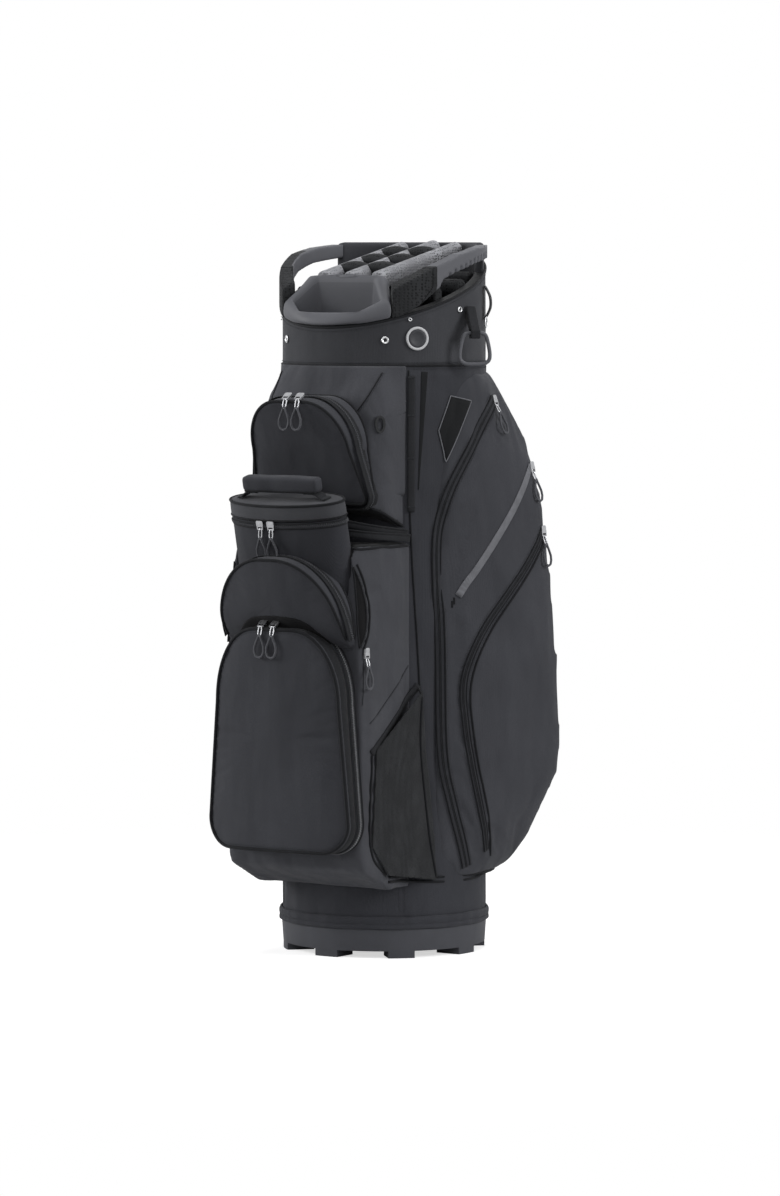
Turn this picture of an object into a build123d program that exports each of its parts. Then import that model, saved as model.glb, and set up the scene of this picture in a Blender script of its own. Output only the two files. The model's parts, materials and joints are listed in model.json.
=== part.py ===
from build123d import *
from math import atan, cos, radians, sin, sqrt, tan
import os

# Golf cart bag standing on its moulded base.
# Millimetres; +Z up, front of the bag toward -Y, origin on the floor under the tube's axis.
# Bearings are counted from the front (-Y) toward +X.
os.makedirs("parts", exist_ok=True)

# Tube, base and hem
TUBE_R = 132.0
TUBE_WALL = 3.0
BASE_H = 37.0
BASE_FOOT_R = 130.0
BASE_WALL = 4.0
FOOT_H = 9.0
FOOT_WIDTH = 34.0
FOOT_COUNT = 8
CENTRE_FOOT_R = 24.0
HEM_R = 135.5
HEM_TOP = 54.0
SEAM_Z = 752.0
STAY_R = 4.0
STAY_X = 112.0
STAY_Y = 43.0

# Cuff, moulded top frame and lift handles
CUFF_R = 131.0
CUFF_WALL = 2.5
FRAME_OUT = CUFF_R - CUFF_WALL - 0.2
FRAME_IN = 117.0
FRAME_LOW = 770.0
CUFF_FRONT_Z = 801.0
CUFF_RISE = 0.365
GUARD_Y = 56.0
GUARD_TOP = 908.0
HANDLE_IN = 117.5
HANDLE_OUT = 134.5
PAD_REAR_Y = -62.0
LIP_BEARING = 39.0

# Putter well
LIP_R = 134.5
LIP_REAR_Y = -78.0
LIP_FRONT_Z = 830.0
LIP_RISE = 0.72
WELL_WALL = 3.0
SHEET_FOOT = 24.0

# Club divider
RAIL_X = 42.0
RAIL_W = 15.0
RAIL_H = 20.0
RAIL_MID_Z = 885.0
RAIL_RISE = 0.21
CROSS_YS = (-34.0, 11.0, 56.0)
CROSS_DROP = 3.0
OUTER_DROP = 27.0
SHEET_T = 1.6
DIVIDER_R = 116.0

# Front pockets and cooler
FRONT_HALF = 105.0
FRONT_LOW = 92.0
FRONT_TOP = 530.0
FRONT_Y = -200.0
CHEEK_LOW = 402.0
CHEEK_IN = 16.0
POCKET_WALL = 3.0
LOWER_HALF = 109.0
LOWER_TAPER = 13.0
LOWER_Z = (143.0, 426.0)
LOWER_ZIP_Y = -214.0
LOWER_EDGE_Y = -230.0
LOWER_CROWN_Y = -244.0
MID_HALF = 94.0
MID_TOP = 514.0
MID_LOW = 400.0
MID_EDGE_Y = -241.0
MID_CROWN_Y = -249.0
MID_LEAN = 15.0
UPPER_HALF = 82.0
UPPER_Z = (577.0, 711.0)
UPPER_EDGE_Y = -205.0
UPPER_CROWN_Y = -208.0
UPPER_LEAN = 20.0
SHOULDER_Y = -150.0
SHOULDER_LOW = (540.0, 574.0)
SHOULDER_HALF = 99.0
COOLER_LEAN = 13.0
COOLER_SEAM = (0.0, -208.0, 566.0)
COOLER_A = 85.0
COOLER_B = 35.0
COOLER_DEPTH = 128.0
COOLER_WALL = 4.0
LID_H = 22.0
GRAB_SPAN = 112.0
GRAB_RISE = 31.0
GRAB_T = 14.0

# Side pockets: height, rear outer corner (x, y) and mid bulge (x, y) of each plan section
SIDE_SECTIONS = (
    (97.0, (109.4, 77.5), (134.0, 10.0)),
    (111.0, (131.9, 94.0), (140.0, 8.0)),
    (142.0, (153.5, 108.0), (149.0, 5.0)),
    (191.0, (174.6, 122.0), (156.0, 3.0)),
    (223.0, (188.0, 130.0), (159.0, 2.0)),
    (262.0, (193.2, 132.0), (160.5, 2.0)),
    (371.0, (188.7, 129.0), (159.0, 2.0)),
    (474.0, (182.2, 125.0), (157.0, 3.0)),
    (577.0, (171.3, 118.0), (153.0, 5.0)),
    (654.0, (154.9, 106.0), (147.0, 8.0)),
    (699.0, (133.3, 92.0), (140.0, 10.0)),
    (748.0, (108.6, 76.1), (132.6, 10.0)),
)
SIDE_FRONT_BEARING = 59.0
SIDE_REAR_BEARING = 141.0

# Small fittings
STRIP_BEARING = 50.0
RING_SIZE = 44.0
RING_BAR = 6.0
RING_T = 5.0
RING_CENTRE = (153.5, -18.9, 774.5)
RING_FACING = 47.0
BADGE_R = 15.0
PULL_LEN = 26.0
GAP = 0.3


def bearing(radius, angle, z=0.0):
    """Point at a radius and bearing round the tube's axis."""
    return Vector(radius * sin(radians(angle)), -radius * cos(radians(angle)), z)


def cuff_top(y):
    """Height of the cuff's slanted top edge."""
    return CUFF_FRONT_Z + CUFF_RISE * (y + 133.0)


def rail_top(y):
    """Height of the divider rails, which climb toward the back."""
    return RAIL_MID_Z + RAIL_RISE * y


def crown_radius(half, rise):
    """Radius of a front panel that bulges by rise over a half width."""
    return (half * half + rise * rise) / (2.0 * rise)


CUFF_PLANE = Plane(origin=(0, -133.0, CUFF_FRONT_Z), z_dir=(0, -CUFF_RISE, 1))
LIP_PLANE = Plane(origin=(0, -134.0, LIP_FRONT_Z), z_dir=(0, -LIP_RISE, 1))
COOLER_UP = Vector(0, -sin(radians(COOLER_LEAN)), cos(radians(COOLER_LEAN)))
COOLER_PLANE = Plane(origin=COOLER_SEAM, x_dir=(1, 0, 0), z_dir=COOLER_UP)


def save(part, name):
    part.label = name
    export_step(part, f"parts/{name}.step")


# Moulded base: a shallow cup on eight lugs and a centre foot
with BuildPart() as base_cup:
    with BuildSketch(Plane.XZ):
        with BuildLine():
            Polyline(
                (0, FOOT_H),
                (BASE_FOOT_R, FOOT_H),
                (TUBE_R, BASE_H),
                (TUBE_R - BASE_WALL, BASE_H),
                (BASE_FOOT_R - BASE_WALL, FOOT_H + BASE_WALL),
                (0, FOOT_H + BASE_WALL),
                close=True,
            )
        make_face()
    revolve(axis=Axis.Z)
    with BuildSketch(Plane.XY):
        with PolarLocations(BASE_FOOT_R - 16, FOOT_COUNT, start_angle=90):
            Rectangle(40, FOOT_WIDTH)
        Circle(BASE_FOOT_R, mode=Mode.INTERSECT)
        Circle(CENTRE_FOOT_R)
    extrude(amount=FOOT_H)
save(base_cup.part, "base_cup")

# Fabric hem over the joint between tube and base
with BuildPart() as hem_band:
    with BuildSketch(Plane.XY.offset(BASE_H)):
        Circle(HEM_R)
        Circle(TUBE_R + 0.2, mode=Mode.SUBTRACT)
    extrude(amount=HEM_TOP - BASE_H)
save(hem_band.part, "hem_band")

# Tube in four sewn panels
TUBE_LOW = BASE_H + 0.2
for panel_name, panel_bearing in (("front", 0), ("right", 90), ("back", 180), ("left", 270)):
    with BuildPart() as tube_panel:
        with BuildSketch(Plane.XY.offset(TUBE_LOW)):
            with BuildLine():
                Polyline(
                    (0, 0),
                    bearing(400, panel_bearing - 45),
                    bearing(400, panel_bearing + 45),
                    close=True,
                )
            make_face()
            Circle(TUBE_R, mode=Mode.INTERSECT)
            Circle(TUBE_R - TUBE_WALL, mode=Mode.SUBTRACT)
        extrude(amount=SEAM_Z - TUBE_LOW)
    save(tube_panel.part, f"tube_{panel_name}")

# Four stiffening rods inside the tube
STAY_LOW = FOOT_H + BASE_WALL + 0.2
with BuildPart() as stay_rods:
    with BuildSketch(Plane.XY.offset(STAY_LOW)):
        with GridLocations(2 * STAY_X, 2 * STAY_Y, 2, 2):
            Circle(STAY_R)
    extrude(amount=SEAM_Z - STAY_LOW)
save(stay_rods.part, "stay_rods")

# Cuff: fabric band round the mouth, cut on the slant
with BuildPart() as cuff:
    with BuildSketch(Plane.XY.offset(SEAM_Z + 0.2)):
        Circle(CUFF_R)
        Circle(CUFF_R - CUFF_WALL, mode=Mode.SUBTRACT)
    extrude(amount=GUARD_TOP - SEAM_Z)
    split(bisect_by=CUFF_PLANE, keep=Keep.BOTTOM)
save(cuff.part, "cuff")

# Moulded frame inside the cuff, front and sides
with BuildPart() as top_frame:
    with BuildSketch(Plane.XY.offset(FRAME_LOW)):
        Circle(FRAME_OUT)
        Circle(FRAME_IN, mode=Mode.SUBTRACT)
        with Locations((0, GUARD_Y - 200)):
            Rectangle(400, 400, mode=Mode.INTERSECT)
    extrude(amount=GUARD_TOP - FRAME_LOW)
    split(bisect_by=CUFF_PLANE, keep=Keep.BOTTOM)
save(top_frame.part, "top_frame")

# Raised guard across the back of the mouth
with BuildPart() as rear_guard:
    with BuildSketch(Plane.XY.offset(FRAME_LOW)):
        Circle(FRAME_OUT)
        Circle(FRAME_IN, mode=Mode.SUBTRACT)
        with Locations((0, GUARD_Y + 0.2 + 200)):
            Rectangle(400, 400, mode=Mode.INTERSECT)
    extrude(amount=GUARD_TOP - FRAME_LOW)
    fillet(rear_guard.faces().sort_by(Axis.Z)[-1].edges(), 4.5)
save(rear_guard.part, "rear_guard")

# Lift handles: grey grip bars and their padded front feet
GRIP_OUTLINE = (
    (PAD_REAR_Y + 0.2, 828),
    (PAD_REAR_Y + 0.2, 876),
    (-20, 893),
    (20, 901),
    (GUARD_Y, 905),
    (GUARD_Y, 888),
    (10, 881),
    (-28, 870),
    (-48, 861),
)
PAD_OUTLINE = (
    (-106, cuff_top(-106) + GAP),
    (-106, 846),
    (-92, 857),
    (PAD_REAR_Y, 876),
    (PAD_REAR_Y, 828),
    (-72, cuff_top(-72) + GAP),
)
FOOT_EDGE = bearing(300, LIP_BEARING + 0.4)


def handle_piece(outline, side):
    """Slice of the handle ring with the side view given by outline, on one side of the bag."""
    with BuildPart() as piece:
        with BuildSketch(Plane.YZ):
            with BuildLine():
                Polyline(*outline, close=True)
            make_face()
        extrude(amount=side * 200)
        with BuildSketch(Plane.XY.offset(780)):
            with BuildLine():
                Polyline(
                    (0, 0),
                    (side * FOOT_EDGE.X, FOOT_EDGE.Y),
                    (side * 300, 0),
                    (side * 300, 300),
                    (0, 300),
                    close=True,
                )
            make_face()
            Circle(HANDLE_OUT, mode=Mode.INTERSECT)
            Circle(HANDLE_IN, mode=Mode.SUBTRACT)
        extrude(amount=160, mode=Mode.INTERSECT)
    return piece


for side_name, side in (("right", 1), ("left", -1)):
    grip = handle_piece(GRIP_OUTLINE, side)
    save(grip.part, f"{side_name}_handle")
    pad = handle_piece(PAD_OUTLINE, side)
    save(pad.part, f"{side_name}_handle_pad")

# Putter well: slanted hexagonal mouth over a full-length sleeve
SLEEVE_HEX = ((34, -106), (58, -95), (40, -81))
MOUTH_HEX = ((44, -122), (68, -104), (44, -84))


def hexagon(half_points, grow=0.0):
    """Closed hexagon from its right-hand corners, grown outward for a wall."""
    shifts = (-grow, 0.0, grow)
    right = [(x + grow, y + shift) for (x, y), shift in zip(half_points, shifts)]
    left = [(-x, y) for x, y in reversed(right)]
    with BuildSketch(mode=Mode.PRIVATE) as hexed:
        with BuildLine():
            Polyline(*right, *left, close=True)
        make_face()
    return hexed.sketch


LIP_CORNER = bearing(LIP_R, LIP_BEARING)
LIP_INNER = bearing(FRAME_IN, LIP_BEARING)
with BuildPart() as putter_well:
    with BuildSketch(Plane.XY.offset(790)):
        with BuildLine():
            ThreePointArc((-LIP_CORNER.X, LIP_CORNER.Y), (0, -LIP_R), (LIP_CORNER.X, LIP_CORNER.Y))
            Polyline(
                (LIP_CORNER.X, LIP_CORNER.Y),
                (LIP_INNER.X, LIP_INNER.Y),
                (54, LIP_REAR_Y),
                (-54, LIP_REAR_Y),
                (-LIP_INNER.X, LIP_INNER.Y),
                (-LIP_CORNER.X, LIP_CORNER.Y),
            )
        make_face()
    extrude(amount=110)
    split(bisect_by=LIP_PLANE, keep=Keep.BOTTOM)
    split(bisect_by=CUFF_PLANE.offset(GAP), keep=Keep.TOP)
    with BuildSketch(Plane.XY.offset(SHEET_FOOT)):
        add(hexagon(SLEEVE_HEX, WELL_WALL))
    extrude(amount=830 - SHEET_FOOT)
    with BuildSketch(Plane.XY.offset(SHEET_FOOT)):
        add(hexagon(SLEEVE_HEX))
    extrude(amount=830 - SHEET_FOOT, mode=Mode.SUBTRACT)
    with BuildSketch(Plane.XY.offset(806)):
        add(hexagon(SLEEVE_HEX))
    with BuildSketch(Plane.XY.offset(880)):
        add(hexagon(MOUTH_HEX, 4.0))
    loft(mode=Mode.SUBTRACT)
save(putter_well.part, "putter_well")

# Club divider: three long rails, cross rails between them and full-length sheets below
RAIL_SLOPE = atan(RAIL_RISE)
RAIL_DIR = Vector(0, cos(RAIL_SLOPE), sin(RAIL_SLOPE))
LONG_XS = (-RAIL_X, 0.0, RAIL_X)
RAIL_FRONT_Y = LIP_REAR_Y + 3.0


def rail_end(x):
    """How far back a long rail can run inside the frame."""
    return sqrt(DIVIDER_R**2 - (abs(x) + RAIL_W / 2) ** 2) - 1.0


with BuildPart() as long_rails:
    for x in LONG_XS:
        run = (rail_end(x) - RAIL_FRONT_Y) / cos(RAIL_SLOPE)
        start = Vector(x, RAIL_FRONT_Y, rail_top(RAIL_FRONT_Y) - RAIL_H / 2)
        with BuildSketch(Plane(origin=start, x_dir=(1, 0, 0), z_dir=RAIL_DIR)):
            RectangleRounded(RAIL_W, RAIL_H, RAIL_W / 2 - 0.2)
        extrude(amount=run)
save(long_rails.part, "long_rails")


def cross_spans(y, clear):
    """Stretches in x between the long rails, out to the frame."""
    outer = sqrt(DIVIDER_R**2 - (abs(y) + RAIL_W / 2) ** 2) - 1.0
    spans = [(clear, RAIL_X - clear), (RAIL_X + clear, outer)]
    return spans + [(-b, -a) for a, b in spans]


def cross_top(span_sum, y):
    """Top of a cross rail; those outside the long rails lie lower, which leaves the handles free."""
    return rail_top(y) - (CROSS_DROP if abs(span_sum) < 2 * RAIL_X else OUTER_DROP)


with BuildPart() as cross_rails:
    for y in CROSS_YS:
        for a, b in cross_spans(y, RAIL_W / 2 + 0.2):
            centre = Vector(a, y, cross_top(a + b, y) - RAIL_H / 2)
            with BuildSketch(Plane(origin=centre, x_dir=(0, 1, 0), z_dir=(1, 0, 0))):
                RectangleRounded(RAIL_W, RAIL_H, RAIL_W / 2 - 0.2)
            extrude(amount=b - a)
save(cross_rails.part, "cross_rails")

with BuildPart() as divider_sheets:
    for x in LONG_XS:
        back = rail_end(x)
        low = RAIL_H + 2.0
        with BuildSketch(Plane.YZ.offset(x)):
            with BuildLine():
                Polyline(
                    (RAIL_FRONT_Y, SHEET_FOOT),
                    (back, SHEET_FOOT),
                    (back, rail_top(back) - low),
                    (RAIL_FRONT_Y, rail_top(RAIL_FRONT_Y) - low),
                    close=True,
                )
            make_face()
        extrude(amount=SHEET_T / 2, both=True)
    for y in CROSS_YS:
        for a, b in cross_spans(y, SHEET_T / 2 + 0.2):
            top = cross_top(a + b, y) - RAIL_H - 1.0
            with Locations(((a + b) / 2, y, (SHEET_FOOT + top) / 2)):
                Box(b - a, SHEET_T, top - SHEET_FOOT)
save(divider_sheets.part, "divider_sheets")


# Lower pocket outline: tall arch with elliptical shoulders, seen from the front
def arch(half, z_low, z_top, shoulder_x, shoulder_z, foot_r, grow=0.0, taper=0.0):
    """Front view of a pocket: straight sides drawn in by taper, elliptical shoulders, rounded feet."""
    half = half + grow
    z_low = z_low - grow
    z_top = z_top + grow
    with BuildSketch(mode=Mode.PRIVATE) as outline:
        with BuildLine():
            flat = half - taper - shoulder_x
            spring = z_top - shoulder_z
            Line((-half, z_low + foot_r), (-half + taper, spring))
            EllipticalCenterArc((-flat, spring), shoulder_x, shoulder_z, 90, arc_size=90)
            Line((-flat, z_top), (flat, z_top))
            EllipticalCenterArc((flat, spring), shoulder_x, shoulder_z, 0, arc_size=90)
            Line((half - taper, spring), (half, z_low + foot_r))
            CenterArc((half - foot_r, z_low + foot_r), foot_r, 270, 90)
            Line((half - foot_r, z_low), (-half + foot_r, z_low))
            CenterArc((-half + foot_r, z_low + foot_r), foot_r, 180, 90)
        make_face()
    return outline.sketch


def front_plane(y):
    """Sketch plane whose x is the bag's x and whose y is height, looking out to the front."""
    return Plane(origin=(0, y, 0), x_dir=(1, 0, 0), z_dir=(0, -1, 0))


def lower_arch(grow=0.0):
    return arch(LOWER_HALF, LOWER_Z[0], LOWER_Z[1], 52, 88, 26, grow, LOWER_TAPER)


CROWN_R = crown_radius(LOWER_HALF, LOWER_EDGE_Y - LOWER_CROWN_Y)
CROWN_Y = LOWER_CROWN_Y + CROWN_R

# Front body: the deep box that carries the lower pockets and the cooler sleeve
with BuildPart() as cooler_space:
    with BuildSketch(COOLER_PLANE.offset(-COOLER_DEPTH - 1.5)):
        Ellipse(COOLER_A + 2.0, COOLER_B + 2.0)
    extrude(amount=COOLER_DEPTH + 120)

with BuildPart() as tube_space:
    Cylinder(TUBE_R + 0.4, 760, align=(Align.CENTER, Align.CENTER, Align.MIN))

with BuildPart() as front_body:
    with BuildSketch(Plane.YZ):
        with BuildLine():
            Polyline(
                (-70, FRONT_LOW),
                (-136, FRONT_LOW),
                (FRONT_Y + 8, 119),
                (FRONT_Y, 136),
                (FRONT_Y, FRONT_TOP - 14),
                (FRONT_Y + 8, FRONT_TOP),
                (-70, FRONT_TOP),
                close=True,
            )
        make_face()
    extrude(amount=FRONT_HALF, both=True)
    fillet(front_body.edges().filter_by(Axis.Z).group_by(Axis.Y)[0], 6)
    for side in (1, -1):
        cheek = Plane(
            origin=(side * FRONT_HALF, FRONT_Y, CHEEK_LOW),
            x_dir=(-side * CHEEK_IN, 0, FRONT_TOP - CHEEK_LOW),
            z_dir=(-side * 45 * (FRONT_TOP - CHEEK_LOW), CHEEK_IN * (FRONT_TOP - CHEEK_LOW), -45 * CHEEK_IN),
        )
        split(bisect_by=cheek, keep=Keep.TOP)
    add(tube_space.part, mode=Mode.SUBTRACT)
    add(cooler_space.part, mode=Mode.SUBTRACT)
save(front_body.part, "front_body")

# Lower pocket: fixed gusset half and hinged front half, parted at the zip line
with BuildPart() as lower_pocket_frame:
    with BuildSketch(front_plane(FRONT_Y - 0.2)):
        add(lower_arch())
        add(lower_arch(-POCKET_WALL), mode=Mode.SUBTRACT)
    extrude(amount=(FRONT_Y - 0.2) - (LOWER_ZIP_Y + GAP))
    add(cooler_space.part, mode=Mode.SUBTRACT)
save(lower_pocket_frame.part, "lower_pocket_frame")

with BuildPart() as flap_inside:
    with BuildSketch(front_plane(LOWER_ZIP_Y + 1)):
        add(lower_arch(-POCKET_WALL))
    extrude(amount=40)
    with BuildSketch(Plane.XY):
        with Locations((0, CROWN_Y)):
            Circle(CROWN_R - POCKET_WALL)
    extrude(amount=600, mode=Mode.INTERSECT)

with BuildPart() as lower_pocket_flap:
    with BuildSketch(front_plane(LOWER_ZIP_Y - GAP)):
        add(lower_arch())
    extrude(amount=40)
    with BuildSketch(Plane.XY):
        with Locations((0, CROWN_Y)):
            Circle(CROWN_R)
    extrude(amount=600, mode=Mode.INTERSECT)
    add(flap_inside.part, mode=Mode.SUBTRACT)
save(lower_pocket_flap.part, "lower_pocket_flap")

# Middle pocket: padded arch wrapped round the front of the cooler sleeve
with BuildPart() as lower_pocket_space:
    with BuildSketch(front_plane(FRONT_Y + 2)):
        add(lower_arch(1.5))
    extrude(amount=90)

MID_UP = (0, -sin(radians(MID_LEAN)), cos(radians(MID_LEAN)))
with BuildPart() as mid_pocket:
    with BuildSketch(Plane(origin=(0, 0, MID_TOP), x_dir=(1, 0, 0), z_dir=MID_UP)):
        with BuildLine():
            ThreePointArc((-MID_HALF, MID_EDGE_Y), (0, MID_CROWN_Y), (MID_HALF, MID_EDGE_Y))
            Polyline(
                (MID_HALF, MID_EDGE_Y),
                (MID_HALF, FRONT_Y + 20),
                (-MID_HALF, FRONT_Y + 20),
                (-MID_HALF, MID_EDGE_Y),
            )
        make_face()
    extrude(amount=150, both=True)
    with BuildSketch(front_plane(FRONT_Y - 0.3)):
        add(arch(MID_HALF, MID_LOW, MID_TOP, 88, 100, 5))
    extrude(amount=100, mode=Mode.INTERSECT)
    add(lower_pocket_space.part, mode=Mode.SUBTRACT)
    add(cooler_space.part, mode=Mode.SUBTRACT)
save(mid_pocket.part, "mid_pocket")

# Upper shoulder, swelling from the cuff's seam out to the upper pocket
SHOULDER_SECTIONS = (
    (SEAM_Z - 1, (103, -82), (85, -100), (46, -123)),
    (714, (101, -80), (90, -127), (68, -146)),
    (690, (SHOULDER_HALF, -80), (96, -131), (82, SHOULDER_Y)),
    (SHOULDER_LOW[0], (SHOULDER_HALF, -80), (96, -131), (84, SHOULDER_Y)),
)
SHOULDER_FLOOR = Plane(
    origin=(0, -80, SHOULDER_LOW[0]),
    x_dir=(1, 0, 0),
    z_dir=(0, SHOULDER_LOW[1] - SHOULDER_LOW[0], 70),
)
with BuildPart() as upper_body:
    for z, *half in SHOULDER_SECTIONS:
        with BuildSketch(Plane.XY.offset(z)):
            with BuildLine():
                Polyline(*half, *[(-x, y) for x, y in reversed(half)], close=True)
            make_face()
    loft(ruled=True)
    split(bisect_by=SHOULDER_FLOOR, keep=Keep.TOP)
    add(tube_space.part, mode=Mode.SUBTRACT)
save(upper_body.part, "upper_body")

# Upper pocket: arched and slightly crowned, leaning forward with the shoulder
UPPER_CROWN_R = crown_radius(UPPER_HALF, UPPER_EDGE_Y - UPPER_CROWN_Y)
UPPER_TOP_PLANE = Plane(
    origin=(0, UPPER_CROWN_Y + UPPER_CROWN_R / cos(radians(UPPER_LEAN)), UPPER_Z[1]),
    x_dir=(1, 0, 0),
    z_dir=(0, -sin(radians(UPPER_LEAN)), cos(radians(UPPER_LEAN))),
)
with BuildPart() as upper_pocket:
    with BuildSketch(front_plane(SHOULDER_Y - 0.2)):
        add(arch(UPPER_HALF, UPPER_Z[0], UPPER_Z[1], 70, 80, 10))
    extrude(amount=60)
    with BuildSketch(UPPER_TOP_PLANE.offset(UPPER_CROWN_R * tan(radians(UPPER_LEAN)) - 160)):
        Circle(UPPER_CROWN_R)
    extrude(amount=260, mode=Mode.INTERSECT)
save(upper_pocket.part, "upper_pocket")

# Insulated cooler: oval cup leaning forward, lid and padded grab handle
with BuildPart() as cooler_cup:
    with BuildSketch(COOLER_PLANE.offset(-COOLER_DEPTH)):
        Ellipse(COOLER_A, COOLER_B)
    extrude(amount=COOLER_DEPTH - GAP)
    with BuildSketch(COOLER_PLANE.offset(-COOLER_DEPTH + COOLER_WALL)):
        Ellipse(COOLER_A - COOLER_WALL, COOLER_B - COOLER_WALL)
    extrude(amount=COOLER_DEPTH, mode=Mode.SUBTRACT)
save(cooler_cup.part, "cooler_cup")

with BuildPart() as cooler_lid:
    with BuildSketch(COOLER_PLANE):
        Ellipse(COOLER_A + 1.0, COOLER_B)
    extrude(amount=LID_H)
    fillet(cooler_lid.edges().sort_by(Axis.Z)[-1], 5)
save(cooler_lid.part, "cooler_lid")

GRAB_PLANE = Plane(origin=COOLER_PLANE.offset(LID_H + 0.2).origin, x_dir=(1, 0, 0), z_dir=(0, -1, 0))
with BuildPart() as cooler_handle:
    with BuildSketch(GRAB_PLANE.offset(-1)):
        with BuildLine():
            Polyline(
                (-GRAB_SPAN / 2, 0.8),
                (-GRAB_SPAN / 2 + 14, GRAB_RISE),
                (GRAB_SPAN / 2 - 14, GRAB_RISE),
                (GRAB_SPAN / 2, 0.8),
                (GRAB_SPAN / 2 - 12, 0.8),
                (GRAB_SPAN / 2 - 20, GRAB_RISE - 15),
                (-GRAB_SPAN / 2 + 20, GRAB_RISE - 15),
                (-GRAB_SPAN / 2 + 12, 0.8),
                close=True,
            )
        make_face()
    extrude(amount=GRAB_T)
    split(bisect_by=COOLER_PLANE.offset(LID_H + 0.2), keep=Keep.TOP)
save(cooler_handle.part, "cooler_handle")

# Side pockets: lofted from the cuff's seam out to the wide apparel pocket and back in to the hem
with BuildPart() as side_shape:
    for z, corner, bulge in SIDE_SECTIONS:
        front = bearing(TUBE_R - 1.0, SIDE_FRONT_BEARING)
        rear = bearing(TUBE_R - 1.0, SIDE_REAR_BEARING)
        with BuildSketch(Plane.XY.offset(z)):
            with BuildLine():
                ThreePointArc((front.X, front.Y), bulge, corner)
                Polyline(corner, (rear.X, rear.Y), (front.X, front.Y))
            make_face()
    loft(ruled=True)
    add(tube_space.part, mode=Mode.SUBTRACT)
with BuildPart() as right_side_pocket:
    add(side_shape.part)
save(right_side_pocket.part, "right_side_pocket")
with BuildPart() as left_side_pocket:
    add(mirror(side_shape.part, about=Plane.YZ, mode=Mode.PRIVATE))
save(left_side_pocket.part, "left_side_pocket")

# Mesh pockets: flat pouches low on the sides, standing off between front body and tube
MESH_T = 2.4
MESH_OUTLINE = ((-84, 342), (-172, 272), (-180, 150), (-150, 112), (-58, 99), (-62, 150), (-78, 260))
for side_name, side in (("right", 1), ("left", -1)):
    with BuildPart() as mesh_pocket:
        with BuildSketch(Plane.XY):
            with BuildLine():
                Polyline(
                    (side * (FRONT_HALF + GAP), -186),
                    (side * (FRONT_HALF + GAP + MESH_T), -186),
                    (side * (121 + MESH_T), -50),
                    (side * 121, -50),
                    close=True,
                )
            make_face()
        extrude(amount=400)
        with BuildSketch(Plane.YZ):
            with BuildLine():
                Polyline(*MESH_OUTLINE, close=True)
            make_face()
        extrude(amount=side * 200, mode=Mode.INTERSECT)
        add(tube_space.part, mode=Mode.SUBTRACT)
    save(mesh_pocket.part, f"{side_name}_mesh_pocket")

# Webbing strips beside the front body, where a cart's strap is guided
with BuildPart() as strap_strips:
    for side in (1, -1):
        centre = bearing(TUBE_R + 1.7, side * STRIP_BEARING, 655)
        outward = bearing(1, side * STRIP_BEARING)
        with BuildSketch(Plane(origin=centre, x_dir=(0, 0, 1), z_dir=outward)):
            RectangleRounded(176, 9, 1)
        extrude(amount=2.0)
save(strap_strips.part, "strap_strips")

# Towel ring on its webbing tab at the right of the cuff
RING_FACE = bearing(1, RING_FACING)
RING_PLANE = Plane(origin=RING_CENTRE, x_dir=bearing(1, RING_FACING + 90), z_dir=RING_FACE)
RING_BAR_Y = RING_SIZE / 2 - RING_BAR / 2
RING_PIVOT = Vector(RING_CENTRE) + Vector(0, 0, RING_BAR_Y)
with BuildPart() as towel_ring:
    with BuildSketch(RING_PLANE.offset(-RING_T / 2)):
        RectangleRounded(RING_SIZE, RING_SIZE, 13)
        RectangleRounded(RING_SIZE - 2 * RING_BAR, RING_SIZE - 2 * RING_BAR, 8, mode=Mode.SUBTRACT)
    extrude(amount=RING_T)
    fillet(towel_ring.edges(), 1.2)
save(towel_ring.part, "towel_ring")

TAB_PLANE = Plane(origin=RING_PIVOT, x_dir=RING_FACE, z_dir=bearing(1, RING_FACING - 90))
with BuildPart() as cuff_space:
    Cylinder(CUFF_R + 0.2, 1000, align=(Align.CENTER, Align.CENTER, Align.MIN))
with BuildPart() as towel_tab:
    with BuildSketch(TAB_PLANE.offset(-6)):
        with BuildLine():
            Polyline((-30, 34), (-22, 34), (7, 3), (7, -7), (-7, -7), (-7, 2), (-34, 22), close=True)
        make_face()
    extrude(amount=12)
    with BuildSketch(TAB_PLANE.offset(-10)):
        Circle(4.4)
    extrude(amount=20, mode=Mode.SUBTRACT)
    add(cuff_space.part, mode=Mode.SUBTRACT)
save(towel_tab.part, "towel_tab")

# Round hardware on the cuff
RIVETS = ((35.6, 785.0, 5.0), (82.0, 823.0, 4.0), (-35.6, 785.0, 5.0), (-82.0, 823.0, 4.0))
with BuildPart() as cuff_rivets:
    for angle, z, radius in RIVETS:
        out = bearing(1, angle)
        with BuildSketch(Plane(origin=bearing(CUFF_R + 0.2, angle, z), x_dir=(0, 0, 1), z_dir=out)):
            Circle(radius)
        extrude(amount=1.8)
save(cuff_rivets.part, "cuff_rivets")

with BuildPart() as round_badge:
    out = bearing(1, 53.6)
    with BuildSketch(Plane(origin=bearing(CUFF_R + 0.2, 53.6, 787), x_dir=(0, 0, 1), z_dir=out)):
        Circle(BADGE_R)
    extrude(amount=2.2)
    rims = round_badge.edges().filter_by(GeomType.CIRCLE)
    fillet(rims.sort_by_distance(bearing(400, 53.6, 787))[0], 0.8)
save(round_badge.part, "round_badge")

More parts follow.
